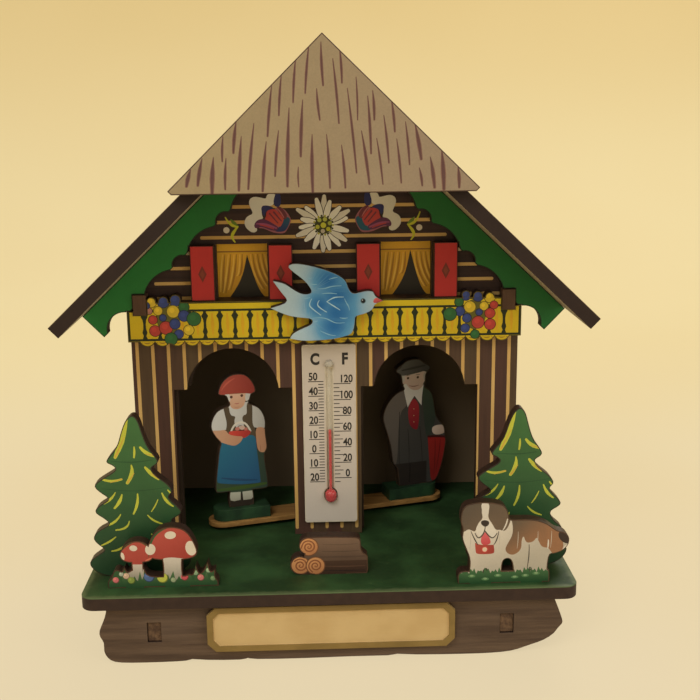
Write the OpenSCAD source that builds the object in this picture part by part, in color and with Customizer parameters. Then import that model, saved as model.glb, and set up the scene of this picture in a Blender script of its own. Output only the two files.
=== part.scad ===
// Alpine weather house with a thermometer. Flat boards are slotted and glued together,
// and the two figures ride on an arm that hangs on a twisted gut and turns with the damp.
// Millimetres, +Z up, the front looks along -Y, and the origin is under the middle of the base.

/* [Boards] */
// Thickness of the boards
sheet_t = 4; // [3:0.5:5]
// Thickness of the shutters
shutter_t = 3; // [2:0.5:4]
// Thickness of the two figures
figure_t = 3; // [2:0.5:4]
// Room on each side of a tab or tenon in its slot
slot_fit = 0.05; // [0.02:0.01:0.2]

/* [Base] */
// Width of the lawn board
base_w = 145; // [130:1:170]
// Depth of the lawn board
base_d = 98; // [92:1:120]
// Radius of the lawn board's corners
base_corner_r = 4; // [1:0.5:10]
// Height of the plinth boards under the lawn
plinth_h = 19; // [16:1:26]
// How far the plinth boards stand back from the lawn's edge
plinth_inset = 4; // [2:0.5:8]
// Distance of each cross rail from the middle
rail_x = 52.2; // [46:0.1:56]
// Height of a rail tenon
rail_tenon_h = 6.2; // [4:0.1:8]
// Height of a rail tenon above the ground
rail_tenon_z = 6.6; // [5:0.1:8]
// How far a rail tenon ends behind the plinth's face
rail_tenon_recess = 0.8; // [0.2:0.1:2]
// Width of the name plate
name_w = 73; // [60:1:90]
// Height of the name plate
name_h = 14; // [10:0.5:16]
// Thickness of the name plate, rim included
name_t = 2; // [1.5:0.1:3]
// Width of the name plate's rim
name_rim = 1.8; // [1:0.1:3]
// Depth of the name plate's field under its rim
name_recess = 0.6; // [0.3:0.1:1]
// Cut of the name plate's corners
name_corner = 2.5; // [1:0.1:4]
// Height of the name plate's middle above the ground
name_z = 10.9; // [9:0.1:14]

/* [Walls] */
// Width of the front wall
wall_w = 122; // [110:1:130]
// Distance from the lawn's front edge to the front wall
wall_setback = 43.5; // [40:0.5:50]
// Distance from the lawn's back edge to the back panel
back_setback = 5; // [3:0.5:8]
// How far the side walls stand in from the front wall's edges
side_inset = 2; // [1:0.5:5]
// Height of a side wall's tenon
side_tenon_h = 6.3; // [4:0.1:8]
// How far that tenon's lower edge lies under the balcony's rail
side_tenon_drop = 3.8; // [2:0.1:6]
// How far that tenon stands out in front of the balcony
side_tenon_out = 1; // [0:0.1:3]

/* [Doorways] */
// Distance of each doorway's middle from the centre
door_x = 29.7; // [28:0.1:31]
// Width of a doorway's arch
arch_w = 29.2; // [26:0.1:31]
// Width of a doorway under its shoulders
door_w = 37.4; // [34:0.1:38]
// Height of the shoulders above the lawn
shoulder_h = 49.9; // [45:0.1:52]
// Height of the arch above the lawn
arch_h = 63.1; // [60:0.1:64]
// How far the lining's doorways sit to the right of the front wall's
lining_shift = 0.8; // [0:0.1:1.5]
// Height of the lining above the lawn
lining_h = 74; // [70:0.5:76]

/* [Windows] */
// Distance of each window's middle from the centre
window_x = 25.5; // [24:0.1:27]
// Width of a window
window_w = 15.8; // [13:0.1:17]
// Height of a window
window_h = 17.2; // [14:0.1:19]
// Width of a shutter
shutter_w = 7.4; // [6:0.1:8]
// Gap between a window's edge and its shutter
shutter_gap = 0.4; // [0.2:0.1:1]
// How far a curtain board passes its window's sides and top
curtain_lap = 3; // [1:0.5:5]

/* [Balcony] */
// Width of the balcony board
balcony_w = 122.4; // [112:0.2:130]
// Height of the balcony's rail above the lawn
rail_top_h = 78.9; // [77:0.1:80]
// Height of the balcony from its scalloped fringe's lowest points to the rail
balcony_h = 13.9; // [12:0.1:15]
// Width of one baluster and of one scallop
baluster_pitch = 4.6; // [4:0.1:6]

/* [Roof] */
// Slope of the roof
roof_pitch = 43.5; // [40:0.1:48]
// Distance of the eaves' outer corners from the centre
eave_x = 76.9; // [74:0.1:82]
// Height of the ridge above the balcony's rail
gable_h = 72.5; // [68:0.1:78]
// How far the roof stands out in front of the front wall
roof_front = 38.4; // [34:0.1:41]
// How far the thatched gable's peak stands above the ridge
thatch_rise = 4.5; // [1:0.1:7]
// Width of the thatched gable across its lower corners
thatch_w = 83.4; // [80:0.2:90]
// Height of the ridge above the thatched gable's lower edge
thatch_h = 36.7; // [30:0.1:42]
// Width of a bargeboard at the tips between its hollows
barge_w = 8.9; // [7:0.1:10]
// Length of one long hollow and one short hollow of the bargeboards with their tips
barge_pitch = 18.9; // [17:0.1:22]
// Length of a long hollow
long_hollow_w = 11.5; // [9:0.1:12.5]
// Depth of a long hollow
long_hollow_d = 1.8; // [0.5:0.1:3]
// Length of a short hollow
short_hollow_w = 5.2; // [3:0.1:5.6]
// Depth of a short hollow
short_hollow_d = 1.5; // [0.5:0.1:2.5]

/* [Thermometer] */
// Width of the thermometer's plate
thermo_w = 17; // [14:0.5:18]
// Gap between the plate's upper edge and the balcony's fringe
thermo_gap = 0.8; // [0.3:0.1:4]
// Thickness of the thermometer's plate
thermo_t = 1.6; // [1.2:0.1:2]
// Offset of the thermometer from the centre
thermo_x = 0.9; // [-1:0.1:1.5]
// Height of the plate's lower edge above the lawn
thermo_z = 4.7; // [3:0.1:5]
// Height of the bulb's middle above the plate's lower edge
bulb_rise = 8.9; // [7:0.1:12]
// How far the tube's upper end is under the plate's upper edge
tube_drop = 6.2; // [4:0.1:10]
// Outer radius of the glass tube
tube_r = 1.15; // [0.9:0.05:1.3]
// Bore radius of the glass tube
tube_bore_r = 0.5; // [0.3:0.05:0.6]
// Radius of the glass bulb
bulb_r = 2.1; // [1.6:0.1:2.2]
// Length of the spirit column above the bulb's middle
column_h = 22.8; // [5:0.1:40]

/* [Figures] */
// Angle that the arm shows in the photograph, with the woman forward
rest_yaw = 16; // [0:0.5:20]
// Length of the arm
arm_l = 83; // [76:0.5:86]
// Width of the arm
arm_w = 10; // [6:0.5:10]
// Thickness of the arm
arm_t = 1.6; // [1:0.1:2]
// Height of the arm's top above the lawn
arm_top_h = 3; // [2.5:0.1:5]
// Distance from the front wall's face to the arm's axis
arm_axis_d = 18.5; // [18:0.1:22]
// Distance of each figure's middle from the arm's axis
figure_r = 30.5; // [28:0.5:31]
// Length of a figure's stand
stand_l = 18.5; // [14:0.5:20]
// Width of a figure's stand
stand_w = 8; // [6:0.5:9]
// Radius of the gut
gut_r = 0.4; // [0.3:0.05:0.6]
// Room between the gut and the peg's bore
gut_fit = 0.08; // [0.05:0.01:0.1]
// Radius of the adjusting peg's shank
peg_r = 2.3; // [1.8:0.1:3]
// Room between the shank and its bore in the bar
peg_fit = 0.08; // [0.05:0.01:0.1]
// Radius of the adjusting peg's knob
knob_r = 5; // [4:0.5:7]
// Height of the knob
knob_h = 5; // [4:0.5:8]
// Height of the bar's underside above the lawn
bar_h = 95; // [92:0.5:100]

/* [View] */
// Sub-part to show

/* [Hidden] */
$fn = 48;
skin = 0.01;

// Levels and planes that several boards share
lawn_z = plinth_h + sheet_t;
front_y = -base_d / 2;
wall_y = front_y + wall_setback;
lining_y = wall_y + sheet_t;
back_y = base_d / 2 - back_setback - sheet_t;
room_d = back_y - lining_y;
roof_y0 = wall_y - roof_front;
roof_y1 = base_d / 2;
plinth_y = front_y + plinth_inset;
balcony_y = wall_y - sheet_t;
side_x = wall_w / 2 - side_inset - sheet_t / 2;
rail_top_z = lawn_z + rail_top_h;
side_tenon_z0 = rail_top_z - side_tenon_drop;
shutter_edge = window_x + window_w / 2 + shutter_gap + shutter_w;
thermo_h = rail_top_h - balcony_h - thermo_gap - thermo_z;
arm_y = wall_y + arm_axis_d;
arm_top_z = lawn_z + arm_top_h;
stand_top_z = arm_top_z + sheet_t;
bar_z = lawn_z + bar_h;

// The roof's ridge and its underside, which the walls and the bargeboards meet
ridge_z = rail_top_z + gable_h;
under_ridge_z = ridge_z - sheet_t / cos(roof_pitch);
function under_z(x) = under_ridge_z - abs(x) * tan(roof_pitch);
eave_u = (eave_x - sheet_t * sin(roof_pitch)) / cos(roof_pitch);

// Where the scenery stands on the lawn, as the distance of its face from the front edge
tree_d = 14.5;
mushroom_d = 6.5;
dog_d = 3.5;
log_d = 12.5;
tree_left_x = -57.3;
tree_right_x = 56.3;

// Tabs under the upright boards, each with its middle and its width
wall_tabs = [[-54.6, 8], [0, 12], [54.6, 8]];
back_tabs = [[-40, 12], [0, 12], [40, 12]];
mushroom_tabs = [[-57.5, 6], [-45, 8]];
dog_tabs = [[44, 7], [59, 7]];
log_tabs = [[0, 10]];
tree_tab_w = 10;
side_tab = [19, 16];

// Smooth closed outline through the middles of the control polygon's sides.
// The points are listed clockwise, and one that is written twice is a sharp corner.
function mid(a, b) = (a + b) / 2;
function bend(a, b, c, t) = mid(a, b) * (1 - t) * (1 - t) + b * 2 * t * (1 - t) + mid(b, c) * t * t;
function curve(p, steps = 3) = [
    for (i = [len(p) - 1 : -1 : 0])
        for (k = [0 : steps - 1])
            let (a = p[(i + 1) % len(p)], c = p[(i + len(p) - 1) % len(p)])
            if (!(k > 0 && a == p[i])) bend(a, p[i], c, k / steps)
];

// A board that faces the front, drawn as x and z, with its face at y
module front_board(y, t = sheet_t) {
    translate([0, y + t, 0]) rotate([90, 0, 0]) linear_extrude(t) union() {
        children();
    }
}

// A board across the house, drawn as y and z, with its middle at x
module cross_board(x, t = sheet_t) {
    translate([x - t / 2, 0, 0]) rotate([90, 0, 90]) linear_extrude(t) union() {
        children();
    }
}

// A board that lies flat, with its underside at z
module flat_board(z, t = sheet_t) {
    translate([0, 0, z]) linear_extrude(t) union() {
        children();
    }
}

// Tabs that reach down through the lawn board, drawn under a front board
module tabs(list) {
    for (tab = list) {
        translate([tab[0] - tab[1] / 2, plinth_h]) square([tab[1], sheet_t + skin]);
    }
}

// The slots for those tabs, drawn on the lawn board
module tab_slots(list, y) {
    for (tab = list) {
        translate([tab[0] - tab[1] / 2 - slot_fit, y - slot_fit])
            square([tab[1] + 2 * slot_fit, sheet_t + 2 * slot_fit]);
    }
}

module lawn_base() {
    r = base_corner_r;
    color("darkgreen") flat_board(plinth_h) difference() {
        union() {
            square([base_w - 2 * r, base_d], center = true);
            square([base_w, base_d - 2 * r], center = true);
            for (x = [-1, 1], y = [-1, 1]) {
                translate([x * (base_w / 2 - r), y * (base_d / 2 - r)]) circle(r);
            }
        }
        tab_slots(wall_tabs, wall_y);
        tab_slots(back_tabs, back_y);
        tab_slots(mushroom_tabs, front_y + mushroom_d);
        tab_slots(dog_tabs, front_y + dog_d);
        tab_slots(log_tabs, front_y + log_d);
        tab_slots([[tree_left_x, tree_tab_w], [tree_right_x, tree_tab_w]], front_y + tree_d);
        for (s = [-1, 1]) {
            translate([s * side_x - sheet_t / 2 - slot_fit, side_tab[0] - side_tab[1] / 2 - slot_fit])
                square([sheet_t + 2 * slot_fit, side_tab[1] + 2 * slot_fit]);
        }
    }
}

// Ragged bark outline of the plinth, the same on both plinth boards
plinth_outline = [
    [-65.7, plinth_h], [-65.7, plinth_h], [65.6, plinth_h], [65.6, plinth_h], [67.4, 14.6], [68.9, 10.4],
    [69, 9.2], [67.4, 7.6], [66.6, 6], [63.4, 3.8], [60, 2.7], [57.5, 1.8], [54, 0.6], [48, 0.1],
    [40, 0], [24, 0.2], [19, 0.8], [18, 0.1], [6, 0.3], [-8, 0], [-24, 0.1], [-25, 0.8], [-26, 0],
    [-38, 0.3], [-41.8, 0.9], [-42.5, 0.2], [-50, 0], [-60, 0], [-64.6, 0.4], [-66.4, 1.8], [-67.4, 4],
    [-67, 6.8], [-68.2, 8.6], [-68.4, 10.5], [-66.9, 13.5], [-65.9, 16.5]
];

module plinth_board(y) {
    front_board(y) difference() {
        polygon(curve(plinth_outline, 2));
        for (s = [-1, 1]) {
            translate([s * rail_x - sheet_t / 2 - slot_fit, rail_tenon_z - slot_fit])
                square([sheet_t + 2 * slot_fit, rail_tenon_h + 2 * slot_fit]);
        }
    }
}

module plinth_front() {
    color("saddlebrown") plinth_board(plinth_y);
}

module plinth_back() {
    color("saddlebrown") plinth_board(-plinth_y - sheet_t);
}

module rail(side) {
    inner = -plinth_y - sheet_t;
    tenon = -plinth_y - rail_tenon_recess;
    color("peru") cross_board(side * rail_x) union() {
        translate([-inner, 0]) square([2 * inner, plinth_h]);
        translate([-tenon, rail_tenon_z]) square([2 * tenon, rail_tenon_h]);
    }
}

module name_outline(inset) {
    w = name_w / 2 - inset;
    h = name_h / 2 - inset;
    c = name_corner - inset * 0.4;
    polygon([
        [-w, c - h], [c - w, -h], [w - c, -h], [w, c - h],
        [w, h - c], [w - c, h], [c - w, h], [-w, h - c]
    ]);
}

module name_plate() {
    color("goldenrod") translate([0, 0, name_z]) difference() {
        front_board(plinth_y - name_t, name_t) name_outline(0);
        front_board(plinth_y - name_t - 1, name_recess + 1) name_outline(name_rim);
    }
}

// A gable wall under the roof, from the lawn up
module gable_outline() {
    w = wall_w / 2;
    polygon([[-w, lawn_z], [w, lawn_z], [w, under_z(w)], [0, under_ridge_z], [-w, under_z(w)]]);
}

module doorway(x) {
    r = arch_w / 2;
    translate([x, lawn_z + arch_h - r]) circle(r, $fn = 72);
    translate([x - r, lawn_z + shoulder_h - skin]) square([arch_w, arch_h - r - shoulder_h + 2 * skin + 1]);
    translate([x - door_w / 2, lawn_z - 1]) square([door_w, shoulder_h + 1]);
}

module window_hole(side) {
    translate([side * window_x - window_w / 2, rail_top_z]) square([window_w, window_h]);
}

module side_tenon_slots() {
    for (s = [-1, 1]) {
        translate([s * side_x - sheet_t / 2 - slot_fit, side_tenon_z0 - slot_fit])
            square([sheet_t + 2 * slot_fit, side_tenon_h + 2 * slot_fit]);
    }
}

module front_wall() {
    color("sienna") front_board(wall_y) {
        difference() {
            gable_outline();
            doorway(-door_x);
            doorway(door_x);
            window_hole(-1);
            window_hole(1);
            side_tenon_slots();
        }
        tabs(wall_tabs);
    }
}

// A second layer behind the doorways, set a little to the right as in the photograph
module wall_lining() {
    w = side_x - sheet_t / 2;
    color("brown") front_board(lining_y) difference() {
        translate([-w, lawn_z]) square([2 * w, lining_h]);
        doorway(-door_x + lining_shift);
        doorway(door_x + lining_shift);
    }
}

hand_hole_r = 9;
bar_w = 12;
bar_tenon_w = 6;

module back_panel() {
    color("sienna") front_board(back_y) {
        difference() {
            gable_outline();
            side_tenon_slots();
            translate([0, bar_z + sheet_t + hand_hole_r + 1]) circle(hand_hole_r);
            translate([-bar_tenon_w / 2 - slot_fit, bar_z - slot_fit])
                square([bar_tenon_w + 2 * slot_fit, sheet_t + 2 * slot_fit]);
        }
        tabs(back_tabs);
    }
}

module side_wall(side) {
    top_z = under_z(side_x + sheet_t / 2);
    tenon_y = balcony_y - side_tenon_out;
    color("peru") cross_board(side * side_x) union() {
        translate([lining_y, lawn_z]) square([room_d, top_z - lawn_z]);
        translate([tenon_y, side_tenon_z0]) square([back_y + sheet_t - tenon_y, side_tenon_h]);
        translate([side_tab[0] - side_tab[1] / 2, plinth_h]) square([side_tab[1], sheet_t + skin]);
    }
}

module curtain(side) {
    w = window_w + 2 * curtain_lap;
    low_z = lawn_z + lining_h;
    color("gold") front_board(lining_y)
        translate([side * window_x - w / 2, low_z]) square([w, rail_top_z + window_h + curtain_lap - low_z]);
}

module shutter(side, place) {
    x = side * window_x + place * (window_w / 2 + shutter_gap + shutter_w / 2);
    color("firebrick") front_board(wall_y - shutter_t, shutter_t)
        translate([x - shutter_w / 2, rail_top_z]) square([shutter_w, window_h]);
}

// Blossoms that pass the balcony's edges, each with its middle's x, height over the rail and radius
blossoms_left = [
    [-53.5, 0.2, 1.5], [-49.8, 0.2, 1.6], [-46.1, 0.7, 1.7], [-43.5, -1.5, 1.3], [-47.9, -11.5, 1.7]
];
blossoms_right = [
    [43.8, 0.8, 1.4], [47.5, 0.4, 1.5], [51.2, 0, 1.5], [46.7, -11.7, 1.2]
];
scallop_share = 0.58;
scallop_sink = 1.2;

module balcony_outline() {
    w = balcony_w / 2;
    scallop_r = baluster_pitch * scallop_share;
    low_z = rail_top_z - balcony_h + scallop_r;
    count = floor(w / baluster_pitch - 0.4);
    translate([-w, low_z - scallop_sink]) square([2 * w, rail_top_z - low_z + scallop_sink]);
    for (i = [-count : count]) {
        translate([i * baluster_pitch, low_z]) circle(scallop_r);
    }
    for (b = concat(blossoms_left, blossoms_right)) {
        translate([b[0], rail_top_z + b[1]]) circle(b[2]);
    }
}

// Where the bargeboards stop over the balcony, and their gap to it, the tenons and the shutters
barge_gap = 0.1;
barge_floor_z = rail_top_z - 2.6;

module balcony() {
    w = balcony_w / 2;
    shoulder = side_x + sheet_t / 2;
    color("yellow") front_board(balcony_y) difference() {
        balcony_outline();
        for (s = [-1, 1]) {
            translate([s * side_x - sheet_t / 2 - slot_fit, side_tenon_z0 - slot_fit])
                square([sheet_t + 2 * slot_fit, balcony_h]);
            translate([s > 0 ? shoulder : -w - 1, barge_floor_z - barge_gap])
                square([w + 1 - shoulder, balcony_h]);
        }
    }
}

module roof_half() {
    drop = eave_x * tan(roof_pitch);
    polygon([
        [0, ridge_z],
        [0, under_ridge_z],
        [eave_x - sheet_t * sin(roof_pitch), ridge_z - drop - sheet_t * cos(roof_pitch)],
        [eave_x, ridge_z - drop]
    ]);
}

module roof_left() {
    color("tan") front_board(roof_y0, roof_y1 - roof_y0) mirror([1, 0]) roof_half();
}

module roof_right() {
    color("burlywood") front_board(roof_y0, roof_y1 - roof_y0) roof_half();
}

module thatch_gable() {
    corner = 1;
    thatch_z = ridge_z - thatch_h;
    low_w = thatch_w / 2;
    color("wheat") front_board(roof_y0 - sheet_t) polygon([
        [0, ridge_z + thatch_rise],
        [-low_w, thatch_z + corner], [corner - low_w, thatch_z],
        [low_w - corner, thatch_z], [low_w, thatch_z + corner]
    ]);
}

// One bargeboard on the right, drawn along the roof's underside from the ridge down to its tail
tail_run = 0.9;
tail_drop = 9.2;
bite_run = 5.5;
bite_drop = 12;
bite_r = 5.4;
first_past = 0.6;
step_past = 1;

// A hollow of length w and depth d in the bargeboard's lower edge, round its middle
module barge_hollow(w, d) {
    r = (w * w / 4 + d * d) / (2 * d);
    translate([0, d - r - barge_w]) circle(r);
}

// The first long hollow and the tail's step start a little past the side wall's tenon's corner
module barge_outline() {
    tenon_in = side_x - sheet_t / 2;
    tenon_down = under_ridge_z - side_tenon_z0 - side_tenon_h;
    first_u = tenon_in * cos(roof_pitch) + tenon_down * sin(roof_pitch) + first_past;
    step_u = first_u + step_past;
    tip_w = (barge_pitch - long_hollow_w - short_hollow_w) / 2;
    tail_u = eave_u + tail_run;
    reach = eave_x + sheet_t;
    difference() {
        intersection() {
            translate([0, under_ridge_z]) rotate(-roof_pitch) difference() {
                union() {
                    translate([-reach, -barge_w]) square([tail_u + reach, barge_w]);
                    translate([step_u, -tail_drop]) square([tail_u - step_u, tail_drop]);
                }
                for (i = [0 : floor(first_u / barge_pitch)]) {
                    long_u = first_u - i * barge_pitch - long_hollow_w / 2;
                    translate([long_u, 0]) barge_hollow(long_hollow_w, long_hollow_d);
                    translate([long_u - (long_hollow_w + short_hollow_w) / 2 - tip_w, 0])
                        barge_hollow(short_hollow_w, short_hollow_d);
                }
                translate([eave_u - bite_run, -bite_drop]) circle(bite_r);
            }
            square([2 * reach, 2 * ridge_z]);
        }
        square([balcony_w / 2 + barge_gap, barge_floor_z]);
        translate([side_x - sheet_t / 2 - barge_gap, 0])
            square([sheet_t + 2 * barge_gap, side_tenon_z0 + side_tenon_h + barge_gap]);
        square([shutter_edge + barge_gap, rail_top_z + window_h + barge_gap]);
    }
}

module bargeboard_left() {
    color("green") front_board(balcony_y) mirror([1, 0]) barge_outline();
}

module bargeboard_right() {
    color("green") front_board(balcony_y) barge_outline();
}

// The swallow's outline over the rail, with its wing tips, tail tips and beak as sharp corners
bird_outline = [
    [-11.6, 11.3], [-9, 12.2], [-3.9, 11.2], [0, 10], [4, 8.4], [6.5, 6.5], [7, 4.1],
    [8.4, 2.3], [10.5, 2.8], [12.6, 3.3], [14.8, 3.2], [15.2, 1.5], [17.8, 0.1], [17.8, 0.1],
    [15.1, -0.8], [14.6, -2.6], [12.1, -3.9], [8.9, -4.5], [9.1, -6.3], [8.3, -10.1], [5.6, -10.9],
    [3.1, -11.5], [-0.8, -11.9], [-7.2, -12.1], [-11, -11.2], [-11, -11.2], [-10.2, -9.7], [-7.6, -8.3],
    [-3.8, -6.8], [-4, -5], [-8.3, -4.7], [-12.1, -3.9], [-16.8, -1.6], [-16.8, -1.6], [-10.8, 0.1],
    [-13.2, 3], [-15.8, 6.8], [-15.8, 6.8], [-12.4, 6.1], [-9.9, 4.2], [-6.9, 2.4],
    [-3.9, 2.7], [-4.4, 4.5], [-6.3, 6.9], [-9.2, 9.1]
];

module bird() {
    color("steelblue") front_board(balcony_y - sheet_t)
        translate([0, rail_top_z]) polygon(curve(bird_outline));
}

// The bulb goes through the plate and ends just in front of the wall
tube_y = wall_y - bulb_r - slot_fit;
bulb_z = lawn_z + thermo_z + bulb_rise;
bulb_straight = 0.9;
tube_top_z = lawn_z + thermo_z + thermo_h - tube_drop;
tube_end_t = 1.2;
shell_t = 0.25;

module thermometer_plate() {
    r = 0.8;
    x = thermo_w / 2;
    color("white") difference() {
        front_board(wall_y - thermo_t, thermo_t) translate([thermo_x, lawn_z + thermo_z]) union() {
            translate([-x, r]) square([thermo_w, thermo_h - 2 * r]);
            translate([r - x, 0]) square([thermo_w - 2 * r, thermo_h]);
            for (sx = [-1, 1], z = [r, thermo_h - r]) {
                translate([sx * (x - r), z]) circle(r);
            }
        }
        translate([thermo_x, tube_y, bulb_z]) cylinder(r = tube_r + slot_fit, h = tube_top_z - bulb_z + 0.3);
        front_board(wall_y - thermo_t - 1, thermo_t + 2) translate([thermo_x, bulb_z]) {
            circle(bulb_r + slot_fit);
            translate([0, bulb_straight]) circle(bulb_r + slot_fit);
            translate([-bulb_r - slot_fit, 0]) square([2 * (bulb_r + slot_fit), bulb_straight]);
        }
    }
}

// Half of the glass from the bulb to the rounded top, turned round the tube's axis
module tube_profile(bulb, tube, low, top) {
    translate([0, low]) square([tube, top - low]);
    intersection() {
        union() {
            circle(bulb);
            translate([0, bulb_straight]) circle(bulb);
            translate([-bulb, 0]) square([2 * bulb, bulb_straight]);
        }
        translate([0, -2 * bulb]) square([2 * bulb, 4 * bulb + bulb_straight]);
    }
}

module thermometer_tube() {
    length = tube_top_z - bulb_z;
    color([0.9, 0.95, 1, 0.4]) translate([thermo_x, tube_y, bulb_z]) rotate_extrude() difference() {
        tube_profile(bulb_r, tube_r, 0, length);
        tube_profile(bulb_r - shell_t, tube_bore_r, 0, length - tube_end_t);
    }
}

module thermometer_spirit() {
    gap = 0.03;
    color("red") translate([thermo_x, tube_y, bulb_z]) rotate_extrude()
        tube_profile(bulb_r - shell_t - gap, tube_bore_r - gap, 0, column_h);
}

// The dab of clear glue that holds the tube's upper end on the plate
module tube_glue() {
    dab_r = tube_r + 0.25;
    color("gainsboro") difference() {
        translate([thermo_x, tube_y, tube_top_z]) sphere(dab_r);
        translate([thermo_x, tube_y, tube_top_z - 2 * dab_r]) cylinder(r = tube_r + skin, h = 2 * dab_r);
        translate([thermo_x - 2 * dab_r, wall_y - thermo_t, tube_top_z - 2 * dab_r])
            cube([4 * dab_r, 4 * dab_r, 4 * dab_r]);
    }
}

// A fir tree's outline above the lawn, round its own middle
tree_outline = [
    [-8, 0], [-8, 0], [-11.5, 0.6], [-14.2, 2.6], [-15, 5], [-11.6, 7.4], [-9.6, 8.6], [-12, 10.4],
    [-13.4, 12.4],
    [-11.8, 14.8], [-7.6, 16.6], [-9.6, 18.6], [-12.6, 20.6], [-10.8, 22.8], [-7.2, 24.6], [-10.2, 26.6],
    [-12.4, 29], [-9.2, 31.2], [-5, 33.6], [-5.8, 35], [-8.2, 36], [-7.2, 37.6], [-4.4, 40.8], [-3.2, 45],
    [-1.6, 49], [0.4, 50.6], [2, 49], [2.9, 45.4], [4.4, 40.4], [7.4, 36.6], [7, 35.2], [4.6, 34],
    [6.6, 31.4], [9.6, 29.2], [11.4, 26.6], [9.6, 25.2], [10.4, 23.8], [13.8, 20.4], [12.6, 19],
    [9.8, 17.6], [11.4, 14.6], [14.6, 12.2], [13, 10.4], [11, 9], [13.8, 8], [16, 5.8], [15, 3],
    [12, 0.8], [8, 0], [8, 0]
];

module tree(x) {
    color("forestgreen") front_board(front_y + tree_d) {
        translate([x, lawn_z]) polygon(curve(tree_outline));
        tabs([[x, tree_tab_w]]);
    }
}

// The two mushrooms: middle, height of the stem, width and height of the cap, width of the stem
mushroom_big = [-46.2, 9, 14.4, 9.4, 6];
mushroom_small = [-56.4, 8.4, 9.6, 5.8, 3.6];

module mushroom(x, stem_h, cap_w, cap_h, stem_w) {
    w = cap_w / 2;
    s = stem_w / 2;
    translate([x, lawn_z + stem_h]) polygon(curve([
        [-w, 0.6], [-w - 0.3, 2.6], [-w * 0.72, cap_h * 0.84], [-w * 0.28, cap_h + 0.3],
        [w * 0.28, cap_h + 0.3],
        [w * 0.72, cap_h * 0.84], [w + 0.3, 2.6], [w, 0.6], [w * 0.6, -0.6], [-w * 0.6, -0.6]
    ], 4));
    translate([x, lawn_z]) polygon(curve([
        [s, stem_h + 1], [s, stem_h + 1], [s * 0.86, stem_h * 0.5], [s * 1.2, 0], [s * 1.2, 0],
        [-s * 1.2, 0], [-s * 1.2, 0], [-s * 0.86, stem_h * 0.5], [-s, stem_h + 1], [-s, stem_h + 1]
    ]));
}

// Grass, flowers and tufts at the mushrooms' feet, as x and the height above the lawn
meadow_outline = [
    [-65.2, 0], [-65.2, 0], [-65.4, 2.2], [-64, 3], [-63.6, 5.4], [-62, 5.8], [-61, 4.8], [-60.2, 6.4],
    [-60.2, 6.4],
    [-59.4, 4.6], [-58, 5.8], [-56.4, 5.6], [-55.6, 4.4], [-54.6, 6.2], [-54.6, 6.2], [-53.8, 3.6],
    [-50, 3.2],
    [-48, 3.4], [-42.6, 3.2], [-41.6, 4], [-40.4, 3.4], [-39.4, 6.6], [-39.4, 6.6], [-38.6, 3.8],
    [-37.4, 4.4],
    [-35.9, 7.4], [-35.9, 7.4], [-35.4, 4.2], [-33.8, 5], [-33.8, 5], [-34, 2.6], [-33, 1.6], [-33, 0],
    [-33, 0]
];

module mushrooms() {
    color("tomato") front_board(front_y + mushroom_d) {
        for (m = [mushroom_big, mushroom_small]) {
            mushroom(m[0], m[1], m[2], m[3], m[4]);
        }
        translate([0, lawn_z]) polygon(curve(meadow_outline));
        tabs(mushroom_tabs);
    }
}

// The dog's outline above the lawn, from the front paws round by the head
dog_outline = [
    [37.4, 0], [37.4, 0], [37.2, 3], [38.4, 4], [40.6, 4], [40.6, 4], [40.9, 7.6], [39.4, 11.4],
    [38.2, 14.4],
    [38.8, 17], [38, 19], [38, 21.6], [38.8, 24.2], [41, 25], [44.6, 25.4], [48.4, 24.9], [50.8, 24.2],
    [52, 21.6], [52, 19.6], [55, 19.7], [60, 19.6], [63.6, 18.2], [66, 16], [68.4, 15.6], [70, 14],
    [69.8, 11.4], [68, 9.6], [65.6, 8.8], [64, 8.8], [63.7, 4], [63.7, 4], [64.4, 3.6], [64.4, 0], [64.4, 0]
];

// The gap between the dog's hind legs and its paws
dog_gap = [
    [50.2, 3.8], [50.2, 3.8], [50.4, 7], [51.8, 7.8], [53.2, 7], [53.6, 3.8], [53.6, 3.8]
];

module dog() {
    color("peru") front_board(front_y + dog_d) {
        difference() {
            translate([0, lawn_z]) polygon(curve(dog_outline));
            translate([0, lawn_z]) polygon(curve(dog_gap));
        }
        tabs(dog_tabs);
    }
}

// Three stacked logs seen from their cut ends, as x, the height above the lawn and the radius
log_ends = [[-6.4, 9.2, 2.8], [-9.1, 3, 2.9], [-4.5, 3, 2.9]];
log_sides = [
    [-6.4, 12], [-6.4, 12], [8.4, 11.9], [9.3, 10.6], [9.2, 8.4], [9.8, 6.6], [11.5, 5.6],
    [11.2, 3.4], [11.5, 1.2], [11, 0], [11, 0], [-9.1, 0], [-9.1, 0]
];

module log_pile() {
    color("rosybrown") front_board(front_y + log_d) {
        translate([0, lawn_z]) {
            for (e = log_ends) {
                translate([e[0], e[1]]) circle(e[2]);
            }
            polygon(curve(log_sides));
        }
        tabs(log_tabs);
    }
}

// The bar under the roof that carries the gut, tenoned through the back panel
module gut_bar() {
    color("tan") difference() {
        flat_board(bar_z) union() {
            translate([-bar_w / 2, lining_y]) square([bar_w, room_d]);
            translate([-bar_tenon_w / 2, back_y - skin]) square([bar_tenon_w, sheet_t + skin]);
        }
        translate([0, arm_y, bar_z - 1]) cylinder(r = peg_r + peg_fit, h = sheet_t + 2);
    }
}

cleat_h = 6;

module bar_cleat() {
    color("peru") translate([-bar_w / 2, lining_y, bar_z - cleat_h]) cube([bar_w, sheet_t, cleat_h]);
}

peg_lift = 0.05;
peg_below = 3;

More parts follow.
